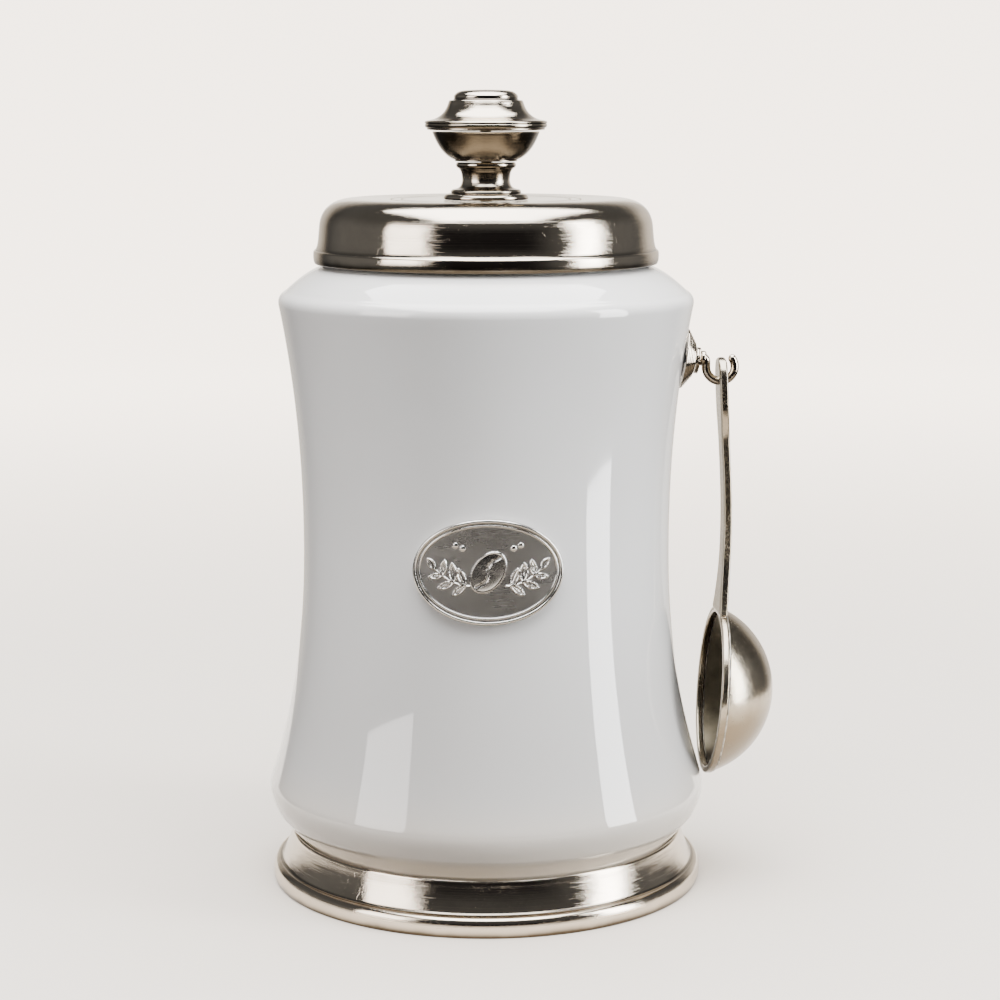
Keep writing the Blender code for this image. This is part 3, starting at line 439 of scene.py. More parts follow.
def cup_outline():
    """Bowl of the knob, with a fine bead at its foot."""
    _, low, high = size_of("knob_cup")
    parts = [straight((STUD_BORE, high), (CUP_RADIUS - 0.2, high), (CUP_RADIUS, high - 0.2))]
    parts.append(bend((CUP_RADIUS, high - 0.2), (CUP_RADIUS - 2.4, low + 2.7), (10.9, low + 0.6), 40))
    parts.append(softened([(10.9, low + 0.6, 0), (10.5, low + 0.45, 0.15), (10.55, low, 0.2),
                           (STUD_BORE, low, 0)], False)[1:])
    return resampled(np.vstack(parts), 0.8)


def cap_outline():
    """Button, ledge, hollow cone and thin double-edged flange, with the blind bore."""
    flange, low, top = size_of("knob_cap")
    button, ledge = BUTTON_RADIUS, BUTTON_RADIUS + 1.7
    parts = [softened([(0, top, 0), (6, top - 0.12, 2), (button - 1.7, top - 0.5, 1.4),
                       (button, top - 1.9, 0.9), (button - 0.15, top - 3.0, 0.3),
                       (button + 0.2, top - 3.4, 0.3), (ledge - 0.2, top - 3.55, 0.4),
                       (ledge + 0.05, top - 4.2, 0.3), (ledge + 0.2, top - 4.6, 0)], False)]
    cone_end = (flange - 1.2, low + 3.35)
    parts.append(bend((ledge + 0.2, top - 4.6), (ledge + 1.7, low + 4.1), cone_end, 30))
    parts.append(softened([(*cone_end, 0), (flange - 0.3, low + 3.1, 0.3), (flange - 0.05, low + 2.55, 0.2),
                           (flange - 0.45, low + 2.3, 0.12), (flange - 0.15, low + 2.0, 0.2),
                           (flange - 0.3, low + 1.1, 0.3), (flange - 0.95, low + 0.8, 0.15),
                           (flange - 0.9, low + 0.3, 0.2), (CUP_RADIUS + 0.3, low, 0.3), (STUD_BORE, low, 0),
                           (STUD_BORE, top - 6, 0), (0, top - 6, 0)], False)[1:])
    return resampled(np.vstack(parts), 0.8)


def rosette_outline():
    """Five small round beads that step up to the seat of the boss, and the gasket's recess behind."""
    top = ROSETTE_DEPTH
    corners = [(HOOK_BORE, top, 0), (4.7, top, 0.2), (5.2, top - 0.15, 0.3)]
    for bead in range(ROSETTE_BEADS):
        radius, height = 5.3 + BEAD_STEP[0] * bead, top - 0.45 - BEAD_STEP[1] * bead
        corners += [(radius, height - 0.2, 0.05), (radius + 0.2, height + 0.12, 0.15),
                    (radius + 0.7, height + 0.05, 0.25), (radius + 0.95, height - 0.45, 0.1)]
    corners += [(10.2, 0.65, 0.2), (10.2, 0.3, 0.1), (6.3, 0.3, 0), (6.3, 1.5, 0), (HOOK_BORE, 1.5, 0)]
    return rounded(corners, 0.8)


def boss_outline():
    """Short round boss with a soft front edge and a turned groove."""
    face, back = BOSS_FACE, BOSS_FACE - BOSS_DEPTH
    corners = [(0, face, 0), (3.4, face, 0.3), (4.5, face - 0.2, 0.3), (4.5, face - 0.65, 0.1),
               (4.25, face - 0.75, 0.1), (4.5, face - 0.88, 0.1), (4.5, back, 0.1), (HOOK_BORE, back, 0),
               (HOOK_BORE, face - 0.4, 0), (0, face - 0.4, 0)]
    return rounded(corners, 0.8, False)


def disc(radius, low, high, bore=0.0, soft=0.15):
    """Plain disc or washer with soft edges."""
    if bore:
        corners = [(bore, high, soft), (radius, high, soft), (radius, low, soft), (bore, low, soft)]
        return rounded(corners, 1.5)
    corners = [(0, high, 0), (radius, high, soft), (radius, low, soft), (0, low, 0)]
    return rounded(corners, 1.5, False)


def thread(name, radius, low, high, pitch=0.7, place=None):
    """Screw thread: radius minus a triangle wave of height over pitch less the share of a turn."""
    depth = 0.3
    around = 48
    rise = np.linspace(low, high, int((high - low) / pitch * 10))
    angle = np.arange(around)[:, None] * TURN / around
    phase = np.mod(rise[None, :] / pitch - angle / TURN, 1.0)
    crest = radius - depth * np.abs(2 * phase - 1)
    ends = np.minimum(rise - low, high - rise)[None, :]
    crest = np.minimum(crest, radius - 0.35 + ends)
    closed = np.pad(crest, ((0, 0), (1, 1)))
    height = np.broadcast_to(np.r_[low, rise, high], closed.shape)
    points = np.stack([closed * np.cos(angle), closed * np.sin(angle), height], 2)
    if place is not None:
        points = moved(points, place)
    return skin(name, points[::-1], np.r_[low, rise, high])


def hexagon_nut(name, low, high, across_corners, bore, place=None):
    """Nut: radius is the smaller of the hexagon and of a cone that bevels its upper and lower corners."""
    around = 180
    corners = [(bore, low, 0.1), (across_corners, low, 0.02), (across_corners, high, 0.02), (bore, high, 0.1)]
    outline = rounded(corners, 0.25)

    def hexagon(angle, height, radius):
        flat = across_corners * math.cos(math.pi / 6)
        side = flat / np.cos(np.mod(angle, TURN / 6) - TURN / 12)
        ends = np.minimum(height - low, high - height)
        bevel = flat + 0.1 + 1.6 * ends
        limit = np.minimum(side, bevel)
        return np.minimum(radius, limit) - radius

    return turned(name, outline, around, place, hexagon)


# ---------------------------------------------------------------- places of the hook and the scoop
wall_height = BODY_HEIGHT - HOOK_BELOW_SHOULDER
wall_slope = float(wall_radius(wall_height + 0.5) - wall_radius(wall_height - 0.5))
wall_tilt = math.atan(wall_slope)
hook_place = frame_at((float(wall_radius(wall_height)), 0, wall_height),
                      (math.cos(wall_tilt), 0, -math.sin(wall_tilt)))
swing = next(joint for joint in frame["joints"] if joint["name"] == "scoop_swing")
pivot = Vector(swing["pos_m"]) / MM
scoop_place = Matrix.Translation(pivot) @ Matrix.Rotation(SCOOP_YAW, 4, "Z")
scoop_place = scoop_place @ Matrix.Rotation(-REST_LEAN, 4, "Y")
rim_offset = Vector((HANDLE_DRIFT - RIM_RADIUS * math.sin(RIM_TILT), 0,
                     HANDLE_TOP - HANDLE_LENGTH - RIM_RADIUS * math.cos(RIM_TILT)))
rim_place = scoop_place @ Matrix.Translation(rim_offset) @ Matrix.Rotation(math.pi / 2 + RIM_TILT, 4, "Y")


def hook_path():
    """Rod out of the boss, round a tight bend, down, and round the open hook to its tip."""
    normal = np.array([math.cos(wall_tilt), -math.sin(wall_tilt)])
    up = np.array([math.sin(wall_tilt), math.cos(wall_tilt)])
    start = np.array([float(wall_radius(wall_height)), wall_height])
    root = start + (BOSS_FACE + ROD_REACH) * normal + ROD_RISE * up
    centre = root - ROD_BEND_RADIUS * up
    hook = (centre[0] + ROD_BEND_RADIUS + HOOK_RADIUS, wall_height - HOOK_DROP)
    parts = [root - normal * np.linspace(ROD_REACH + 1.0, 0.1, 8)[:, None]]
    parts.append(arc(centre, ROD_BEND_RADIUS, 90 - math.degrees(wall_tilt), 0, 10))
    parts.append(arc(hook, HOOK_RADIUS, 180, 412, 90))
    return np.vstack(parts)


def make_hook_arm():
    """Rod of the hook: thick where it is soldered to the boss, with a round tip."""
    path = hook_path()
    track = np.r_[0, np.cumsum(np.linalg.norm(np.diff(path, axis=0), axis=1))]
    flare = 0.55 * np.exp(-((track - 1.1) / 0.45) ** 2)
    tip = np.clip((track[-1] - track) / ROD_RADIUS, 0, 1)
    start = np.clip(track / 0.3, 0, 1)
    slim = 1 - 0.06 * np.clip(track / track[-1], 0, 1)
    radius = ROD_RADIUS * slim * np.sqrt(1 - (1 - tip) ** 2) * start + flare
    radius[0] = radius[-1] = 0
    return tube("hook_rod", path, radius)


# ---------------------------------------------------------------- label plate
def oval_grid(across, up, columns, rows):
    """Square grid (u, v) carried onto a disc: (u sqrt(1 - v^2/2), v sqrt(1 - u^2/2)), then stretched."""
    u, v = np.meshgrid(np.linspace(-1, 1, columns), np.linspace(-1, 1, rows), indexing="ij")
    return across * u * np.sqrt(1 - v * v / 2), up * v * np.sqrt(1 - u * u / 2)


def border_of(grid):
    """Outer loop of a grid, anticlockwise."""
    return np.concatenate([grid[:-1, 0], grid[-1, :-1], grid[:0:-1, -1], grid[0, :0:-1]])


def dome(distance, width, height):
    """Round ridge: height sqrt(1 - (distance / width)^2) inside the width, and zero outside."""
    return height * np.sqrt(np.clip(1 - (distance / width) ** 2, 0, 1))


def leaf(x, y, root_x, root_y, angle, length, width):
    """Outline ridge and midrib of a pointed leaf: half width is width sin(pi s)^0.8 at share s."""
    along = (x - root_x) * math.cos(angle) + (y - root_y) * math.sin(angle)
    side = -(x - root_x) * math.sin(angle) + (y - root_y) * math.cos(angle)
    share = np.clip(along / length, 0, 1)
    half = 0.5 * width * np.sin(math.pi * share) ** 0.8
    beyond = np.clip(-along, 0, None) + np.clip(along - length, 0, None)
    rim = np.hypot(np.abs(np.abs(side) - half) * np.cos(0.6 * (1 - 2 * share)), beyond)
    rib = np.hypot(side, beyond)
    inside = (np.abs(side) < half) & (beyond == 0)
    swell = np.where(inside, 0.10 * (1 - (side / np.maximum(half, 0.05)) ** 2), 0)
    return np.maximum(dome(rim, 0.30, 0.45), np.maximum(dome(rib, 0.22, 0.34), swell))


def bean(x, y):
    """Coffee bean: a domed oval with a ridge around it and a wavy crease along it."""
    angle = math.radians(58)
    along = x * math.cos(angle) + y * math.sin(angle)
    side = -x * math.sin(angle) + y * math.cos(angle)
    share = np.hypot(along / 7.0, side / 4.7)
    rim = np.abs(share - 1) * 5.4
    crease = np.abs(side - 0.95 * np.sin(along * 0.62))
    body = np.where(share < 1, 0.30 + 0.28 * np.sqrt(np.clip(1 - share ** 2, 0, 1)), 0)
    cut = np.where(share < 0.93, dome(crease, 0.55, 0.48), 0)
    return np.maximum(dome(rim, 0.34, 0.48), body) - cut


def sprig_relief(x, y):
    """Bean in the middle between two curved sprigs with pairs of leaves and two berries."""
    height = bean(x, y)
    for side in (-1, 1):
        mirrored = side * x
        stem_y = -4.4 + 0.045 * (mirrored - 6.0) ** 2
        on_stem = np.clip(5.6 - mirrored, 0, None) + np.clip(mirrored - 17.6, 0, None)
        slope = np.cos(np.arctan(0.09 * (mirrored - 6.0)))
        height = np.maximum(height, dome(np.hypot((y - stem_y) * slope, on_stem), 0.30, 0.42))
        for root, length in ((7.2, 5.8), (10.8, 6.2), (14.4, 5.0)):
            root_y = -4.4 + 0.045 * (root - 6.0) ** 2
            lean = math.atan(0.09 * (root - 6.0))
            for spread, share in ((1.08, 1.0), (-0.78, 0.85)):
                height = np.maximum(height, leaf(mirrored, y, root, root_y, lean + spread,
                                                 length * share, 0.37 * length * share))
        tip_y = -4.4 + 0.045 * (17.0 - 6.0) ** 2
        height = np.maximum(height, leaf(mirrored, y, 16.6, tip_y - 0.4, 0.95, 4.2, 1.9))
        for berry_x, berry_y in ((7.9, 7.7), (10.1, 8.6)):
            height = np.maximum(height, dome(np.hypot(mirrored - berry_x, y - berry_y), 0.95, 0.42))
    return height


def make_label():
    """Oval plate bent to the wall: a relief field inside, beaded border, outer edge and hollow back.

    A point (across, up) with standoff h lies at radius wall + h, turned by across / waist radius."""
    low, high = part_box("label_plate")
    middle = 0.5 * (low.z + high.z) / MM
    half_up = 0.5 * (high.z - low.z) / MM
    columns, rows = 250, 166
    field_across, field_up = LABEL_HALF_WIDTH - LABEL_BORDER, half_up - LABEL_BORDER
    x, y = oval_grid(field_across, field_up, columns, rows)
    relief = sprig_relief(x, y)
    field = FIELD_STANDOFF + relief
    loop_angle = np.arctan2(border_of(y) / field_up, border_of(x) / field_across)
    section = softened([(LABEL_BORDER, FIELD_STANDOFF, 0), (2.6, FIELD_STANDOFF, 0.1),
                        (2.45, 2.3, 0.15), (2.1, 2.42, 0.15),
                        (1.8, 2.3, 0.12), (1.7, 1.95, 0.12), (1.35, 1.95, 0.12), (1.2, 2.5, 0.25),
                        (0.65, 2.7, 0.35), (0.1, 2.4, 0.3), (0.0, 1.6, 0.4), (0.15, 0.35, 0.15),
                        (0.5, 0.3, 0.1), (3.1, 0.3, 0.1), (3.2, 1.4, 0.1), (8.0, 1.4, 0)], False)
    inset, standoff = section[1:].T
    ring_x = (LABEL_HALF_WIDTH - inset)[None, :] * np.cos(loop_angle)[:, None]
    ring_y = (half_up - inset)[None, :] * np.sin(loop_angle)[:, None]
    ring_h = np.broadcast_to(standoff, ring_x.shape)

    across = np.concatenate([x.ravel(), ring_x.ravel(), [0.0]])
    up = np.concatenate([y.ravel(), ring_y.ravel(), [0.0]])
    stand = np.concatenate([field.ravel(), ring_h.ravel(), [1.4]])
    turn = across / WAIST_RADIUS
    radius = wall_radius(middle + up) + stand
    points = np.stack([radius * np.sin(turn), -radius * np.cos(turn), middle + up], 1)

    grid = np.arange(columns * rows).reshape(columns, rows)
    cells = np.stack([grid[:-1, :-1], grid[1:, :-1], grid[1:, 1:], grid[:-1, 1:]], 2).reshape(-1, 4)
    loops, count = len(loop_angle), len(inset)
    ring = np.arange(loops * count).reshape(loops, count) + columns * rows
    ring = np.concatenate([border_of(grid)[:, None], ring], 1)
    following = np.roll(ring, -1, 0)
    bands = np.stack([ring[:, :-1], ring[:, 1:], following[:, 1:], following[:, :-1]], 2).reshape(-1, 4)
    back = np.stack([ring[:, -1], np.full(loops, len(points) - 1), following[:, -1]], 1)
    hollow = np.concatenate([np.clip(1 - relief * 5, 0, 1).ravel() * 0.75, np.zeros(loops * count), [0.0]])
    edge = np.concatenate([np.clip(relief * 3 - 0.2, 0, 1).ravel(), np.zeros(loops * count), [0.0]])
    groove = np.clip(1 - np.abs(inset - 1.55) / 0.25, 0, 1) + np.clip(1 - np.abs(inset - 2.7) / 0.2, 0, 1)
    hollow[columns * rows:-1] = np.broadcast_to(groove, (loops, count)).ravel()
    edge[columns * rows:-1] = np.broadcast_to((standoff > 2.25) * 0.8, (loops, count)).ravel()
    return mesh_object("label_relief", points * MM, [cells, bands, back],
                       {"track": up * 1.0, "hollow": hollow, "edge": edge})


# ---------------------------------------------------------------- scoop
def handle_half_width(depth):
    """Half width of the handle: round end, eye, slim grip, and flare into the rim ring."""
    top, grip, flare = HANDLE_HALF_WIDTHS
    round_end = top * np.sqrt(np.clip(1 - ((top - depth) / top) ** 2, 0, 1))
    taper = np.clip((depth - EYE_BAR - EYE_LENGTH) / 12.0, 0, 1)
    width = top + (grip - top) * taper ** 2 * (3 - 2 * taper)
    widening = np.clip((depth - (HANDLE_LENGTH - HANDLE_FLARE)) / HANDLE_FLARE, 0, 1.05)
    width = width + (flare - grip) * widening ** 2.2
    return np.where(depth < top, round_end, width)


def flattened(value, power):
    """Signed power of a value, which squares off a circle."""
    return np.sign(value) * np.abs(value) ** power


def make_strap():
    """Handle as a skin: oblong section (b |cos a|^0.28, w |sin a|^0.22) along the bowed middle line."""
    depth = np.r_[0.0, HANDLE_HALF_WIDTHS[0] * (1 - np.cos(np.linspace(0.12, math.pi / 2, 22))),
                  np.linspace(7.6, HANDLE_LENGTH + 1.2, 170)]
    depth = np.r_[depth, depth[-1] + 0.02]
    width = handle_half_width(depth)
    thick = HANDLE_HALF_THICKNESS - 0.06 * np.exp(-((depth - 40) / 18) ** 2)
    thick = thick * np.clip(width / 4.0, 0.3, 1) ** 0.5
    width[0] = width[-1] = thick[0] = thick[-1] = 0
    share = depth / HANDLE_LENGTH
    inside = np.clip(share, 0, 1)
    middle = HANDLE_DRIFT * inside + HANDLE_BOW * np.sin(np.pi * inside ** HANDLE_BOW_POWER)
    middle = middle - np.clip(depth - HANDLE_LENGTH, 0, None) * math.tan(RIM_TILT)
    angle = np.arange(40)[:, None] * TURN / 40
    points = np.stack([middle + thick * flattened(np.cos(angle), 0.28),
                       width * flattened(np.sin(angle), 0.22),
                       np.broadcast_to(HANDLE_TOP - depth, (40, len(depth)))], 2)
    return skin("scoop_strap", moved(points, scoop_place)[::-1], depth)


def make_eye_cutter():
    """Slot with round ends through the handle: half width times (cos a, sin a), stretched in the middle."""
    radius = 0.5 * EYE_WIDTH
    top, bottom = HANDLE_TOP - EYE_BAR - radius, HANDLE_TOP - EYE_BAR - EYE_LENGTH + radius
    angle = np.arange(64) * TURN / 64
    centre = np.where(np.sin(angle) >= 0, top, bottom)
    across = radius * np.cos(angle)
    height = centre + radius * np.sin(angle)
    reach = np.array([-4.0, -4.0, 4.0, 4.0])
    size = np.array([0.0, 1.0, 1.0, 0.0])
    middle = 0.5 * (top + bottom)
    points = np.stack([np.broadcast_to(reach, (64, 4)), across[:, None] * size,
                       middle + (height - middle)[:, None] * size], 2)
    return skin("eye_tool", moved(points, scoop_place), reach)


def make_handle():
    """Strap and rim ring joined, mouth and eye cut out, then softened all over as one casting."""
    half, inner = 0.5 * RIM_BAND, RIM_RADIUS - RIM_WIDTH
    band = [(inner, half, 0.3), (RIM_RADIUS - 0.1, half, 0.5), (RIM_RADIUS, -half, 0.6), (inner, -half, 0.5)]
    ring = turned("rim_tool", rounded(band, 0.6), 300, rim_place)
    mouth_outline = straight((0, 5), (inner + 0.02, 5), (inner + 0.02, -5), (0, -5))
    mouth = turned("mouth_tool", mouth_outline, 300, rim_place)
    handle = make_strap()
    handle.name = "scoop_cast_handle"
    tools = [(ring, "UNION"), (mouth, "DIFFERENCE"), (make_eye_cutter(), "DIFFERENCE")]
    for tool, operation in tools:
        cut = handle.modifiers.new(operation, "BOOLEAN")
        cut.object = tool
        cut.operation = operation
    grain = handle.modifiers.new("remesh", "REMESH")
    grain.mode = "VOXEL"
    grain.voxel_size = 0.26 * MM
    soft = handle.modifiers.new("smooth", "SMOOTH")
    soft.factor = 0.5
    soft.iterations = 6
    bpy.context.view_layer.update()
    seen = handle.evaluated_get(bpy.context.evaluated_depsgraph_get())
    finished = bpy.data.meshes.new_from_object(seen)
    handle.modifiers.clear()
    handle.data = finished
    for tool, _ in tools:
        bpy.data.objects.remove(tool, do_unlink=True)
    finished.shade_smooth()
    place = point_array(finished, "co")
    for key, values in (("track", place[:, 2] / MM), ("hollow", 0 * place[:, 2]), ("edge", 0 * place[:, 2])):
        old = finished.attributes.get(key)
        if old is not None:
            finished.attributes.remove(old)
        add_attribute(finished, key, values)
    return handle


def make_bowl():
    """Two spherical caps with one centre, joined by a flat edge behind the rim ring."""
    start = 0.5 * RIM_BAND + 0.3
    outer = (BOWL_RIM ** 2 + BOWL_DEPTH ** 2) / (2 * BOWL_DEPTH)
    centre = start + BOWL_DEPTH - outer
    inner = outer - BOWL_WALL
    angle_out = np.linspace(0, math.acos((start - centre) / outer), 70)
    angle_in = np.linspace(math.acos((start - centre) / inner), 0, 64)
    shell = [np.stack([size * np.sin(angle), centre + size * np.cos(angle)], 1)
             for size, angle in ((outer, angle_out), (inner, angle_in))]
    bowl = turned("scoop_spun_bowl", np.vstack(shell), 220, rim_place)
    mark_inside(bowl, rim_place, centre, 0.5 * (outer + inner))
    return bowl


def mark_inside(bowl, place, centre, limit):
    """Point attribute that is one where the distance from the sphere's centre is under the limit."""
    middle = np.array(place @ Vector((0, 0, centre)))
    far = np.linalg.norm(point_array(bowl.data, "co") / MM - middle, axis=1)
    add_attribute(bowl.data, "inside", far < limit)


def make_solder():
    """Uneven fillet of solder between ring and bowl: a thin ring whose radius waves around the seam."""
    angle = np.linspace(0, TURN, 17)[:-1]
    section = np.stack([BOWL_RIM - 0.25 + 0.62 * np.cos(angle), 1.35 + 0.42 * np.sin(angle)], 1)

    def waves(turn, height, radius):
        lumps = np.sin(7 * turn + 1) + 0.7 * np.sin(17 * turn + 2) + 0.5 * np.sin(41 * turn)
        return 0.09 * lumps * (radius > BOWL_RIM - 0.2)

    return turned("scoop_solder", section, 360, rim_place, waves)


# ---------------------------------------------------------------- shader helpers
def add(tree, kind, inputs=None, **settings):
    """Adds a node, sets its properties, and fills or links its inputs."""
    made = tree.nodes.new("ShaderNode" + kind)
    for key, value in settings.items():
        setattr(made, key, value)
    for key, value in (inputs or {}).items():
        if isinstance(value, bpy.types.NodeSocket):
            tree.links.new(value, made.inputs[key])
        else:
            made.inputs[key].default_value = value
    return made


def link(source, target):
    """Joins an output to an input of the same node tree."""
    source.id_data.links.new(source, target)


def maths(tree, operation, first, second=0.5, clamp=False):
    """Output of a Math node."""
    return add(tree, "Math", {0: first, 1: second}, operation=operation, use_clamp=clamp).outputs[0]


def plus(tree, first, second, clamp=False):
    """Sum of two values."""
    return maths(tree, "ADD", first, second, clamp)


def times(tree, first, second):
    """Product of two values."""
    return maths(tree, "MULTIPLY", first, second)


def ramp(tree, value, low, high, to_low=0.0, to_high=1.0):
    """Smooth step of a value between two limits."""
    made = add(tree, "MapRange", {0: value, 1: low, 2: high, 3: to_low, 4: to_high},
               interpolation_type="SMOOTHSTEP")
    return made.outputs[0]


def blend_colour(tree, share, first, second):
    """Mix of two colours, each an output or three numbers."""
    made = add(tree, "Mix", data_type="RGBA")
    for socket, value in ((made.inputs[0], share), (made.inputs[6], first), (made.inputs[7], second)):
        if isinstance(value, bpy.types.NodeSocket):
            tree.links.new(value, socket)
        else:
            socket.default_value = (*value, 1) if isinstance(value, tuple) else value
    return made.outputs[2]


def attribute(tree, name):
    """Value of a point attribute."""
    return add(tree, "Attribute", attribute_name=name).outputs["Fac"]


def object_place(tree):
    """Object coordinates."""
    return add(tree, "TexCoord").outputs["Object"]


def new_group(name, inputs, outputs):
    """Empty shader node group with float inputs (name: default) and named float outputs."""
    tree = bpy.data.node_groups.new(name, "ShaderNodeTree")
    for label, value in inputs.items():
        socket = tree.interface.new_socket(label, in_out="INPUT", socket_type="NodeSocketFloat")
        socket.default_value = value
    for label in outputs:
        tree.interface.new_socket(label, in_out="OUTPUT", socket_type="NodeSocketFloat")
    source = tree.nodes.new("NodeGroupInput")
    target = tree.nodes.new("NodeGroupOutput")
    return tree, source.outputs, target.inputs


def use_group(tree, group, **values):
    """Places a group in a tree; underscores in a name stand for spaces."""
    made = tree.nodes.new("ShaderNodeGroup")
    made.node_tree = group
    for key, value in values.items():
        socket = made.inputs[key.replace("_", " ")]
        if isinstance(value, bpy.types.NodeSocket):
            tree.links.new(value, socket)
        else:
            socket.default_value = value
    return made.outputs


def lathe_group():
    """Fine turning lines: noise of the distance along the outline over the spacing."""
    tree, given, result = new_group("lathe_lines", {"Spacing": 0.3, "Unevenness": 0.5}, ["Lines"])
    track = attribute(tree, "track")
    place = object_place(tree)
    wander = add(tree, "TexNoise", {"Vector": place, "Scale": 60.0, "Detail": 2.0}).outputs["Fac"]
    shift = times(tree, wander, given["Unevenness"])
    along = plus(tree, maths(tree, "DIVIDE", track, given["Spacing"]), shift)
    lines = add(tree, "TexNoise", {"W": along, "Scale": 1.0, "Detail": 3.0, "Roughness": 0.65},
                noise_dimensions="1D").outputs["Fac"]
    link(lines, result["Lines"])
    return tree


def patina_and_shade_group():
    """Dark deposit: strong where the outline is hollow, patchy elsewhere, rubbed off on edges; and painted
    shade on undersides, where the normal points down.
    """
    tree, given, result = new_group("patina_and_shade", {"Hollows": 0.8, "Patches": 0.2, "Scale": 40.0},
                                    ["Deposit", "Painted Underside Shade"])
    place = object_place(tree)
    hollow = attribute(tree, "hollow")
    edge = attribute(tree, "edge")
    cloud = add(tree, "TexNoise", {"Vector": place, "Scale": given["Scale"], "Detail": 6.0, "Roughness": 0.6})
    patch = times(tree, ramp(tree, cloud.outputs["Fac"], 0.45, 0.72), given["Patches"])
    deep = times(tree, hollow, given["Hollows"])
    total = maths(tree, "SUBTRACT", plus(tree, patch, deep), times(tree, edge, 0.6), True)
    link(total, result["Deposit"])
    # Painted shade: the undersides, where the normal points down, are darkened, with patchy limits from the
    # noise.
    facing = attribute(tree, "facing")
    uneven = maths(tree, "MULTIPLY_ADD", cloud.outputs["Fac"], 0.3)
    uneven.node.inputs[2].default_value = -0.15
    link(ramp(tree, plus(tree, facing, uneven), 0.05, -0.30), result["Painted Underside Shade"])
    return tree


def scuff_group():
    """Hairline scuffs: ridges of a stretched, warped noise, gathered in patches."""
    tree, given, result = new_group("scuffs", {"Scale": 300.0, "Share": 0.5}, ["Scuffs"])
    place = object_place(tree)
    turned_place = add(tree, "Mapping", {"Vector": place, "Rotation": (0.4, 0.9, 0.3),
                                         "Scale": (1.0, 0.12, 1.0)})
    hair = add(tree, "TexNoise", {"Vector": turned_place.outputs[0], "Scale": given["Scale"], "Detail": 2.0,
                                  "Distortion": 0.6}).outputs["Fac"]
    ridge = maths(tree, "ABSOLUTE", maths(tree, "SUBTRACT", hair, 0.5))
    line = ramp(tree, ridge, 0.0, 0.03, 1.0, 0.0)
    cloud = add(tree, "TexNoise", {"Vector": place, "Scale": 70.0, "Detail": 3.0}).outputs["Fac"]
    where = ramp(tree, cloud, 0.42, 0.62)
    link(times(tree, times(tree, line, where), given["Share"]), result["Scuffs"])
    return tree


def pit_group():
    """Casting pits: small discs around random points, only some of which are open."""
    tree, given, result = new_group("pits", {"Scale": 500.0, "Radius": 0.3, "Share": 0.3}, ["Pits"])
    place = object_place(tree)
    cells = add(tree, "TexVoronoi", {"Vector": place, "Scale": given["Scale"]})
    chance = add(tree, "SeparateColor", {0: cells.outputs["Color"]}).outputs[0]
    open_pit = maths(tree, "LESS_THAN", chance, given["Share"])
    size = times(tree, given["Radius"], plus(tree, times(tree, chance, 2.0), 0.3))
    depth = maths(tree, "SUBTRACT", 1.0, maths(tree, "DIVIDE", cells.outputs["Distance"], size), True)
    link(times(tree, depth, open_pit), result["Pits"])
    return tree


LATHE, PATINA_AND_SHADE, SCUFFS, PITS = lathe_group(), patina_and_shade_group(), scuff_group(), pit_group()


def new_material(name, **values):
    """Principled material whose constant values sit on the shader's own sockets."""
    material = bpy.data.materials.new(name)
    material.use_nodes = True
    tree = material.node_tree
    shader = tree.nodes["Principled BSDF"]
    for key, value in values.items():
        shader.inputs[key.replace("_", " ")].default_value = value
    return material, tree, shader.inputs


def bump(tree, height, distance, strength=1.0, normal=None):
    """Normal from a height mask, with its full depth in metres."""
    inputs = {"Height": height, "Distance": distance, "Strength": strength}
    if normal is not None:
        inputs["Normal"] = normal
    return add(tree, "Bump", inputs).outputs[0]


def noise(tree, scale, detail=4.0, roughness=0.55, distortion=0.0):
    """Noise of the Object coordinates."""
    place = object_place(tree)
    return add(tree, "TexNoise", {"Vector": place, "Scale": scale, "Detail": detail, "Roughness": roughness,
                                  "Distortion": distortion}).outputs["Fac"]


# ---------------------------------------------------------------- finishes
def glaze():
    """White tin glaze: faint cloudiness, slow ripples and a few pinholes, with painted shade darkening it
    towards the bottom and painted warm shade near the foot.
    """
    material, tree, shader = new_material("white_glaze", IOR=1.52, Coat_Weight=0.6, Coat_Roughness=0.02)
    cloud = noise(tree, 14.0, 3.0)
    tone = blend_colour(tree, ramp(tree, cloud, 0.35, 0.7), (0.86, 0.855, 0.845), (0.82, 0.81, 0.795))
    height = add(tree, "SeparateXYZ", {0: object_place(tree)}).outputs[2]
    # Painted shade: the glaze darkens from 125 mm down to 45 mm, and turns warm tan from 50 mm down to the
    # foot.
    tone = blend_colour(tree, ramp(tree, height, 0.125, 0.045), tone, (0.62, 0.607, 0.59))
    tone = blend_colour(tree, ramp(tree, height, 0.050, 0.016, 0.0, 0.9), tone, (0.74, 0.65, 0.53))
    pins = use_group(tree, PITS, Scale=160.0, Radius=0.05, Share=0.10)["Pits"]
    colour = blend_colour(tree, times(tree, pins, 0.45), tone, (0.42, 0.38, 0.33))
    link(colour, shader["Base Color"])
    link(ramp(tree, noise(tree, 45.0, 3.0), 0.3, 0.8, 0.035, 0.075), shader["Roughness"])
    slow = bump(tree, noise(tree, 22.0, 1.5, 0.4), 0.0006, 0.35)
    fine = bump(tree, times(tree, pins, -1.0), 0.0002, 0.5, slow)
    link(fine, shader["Normal"])
    return material


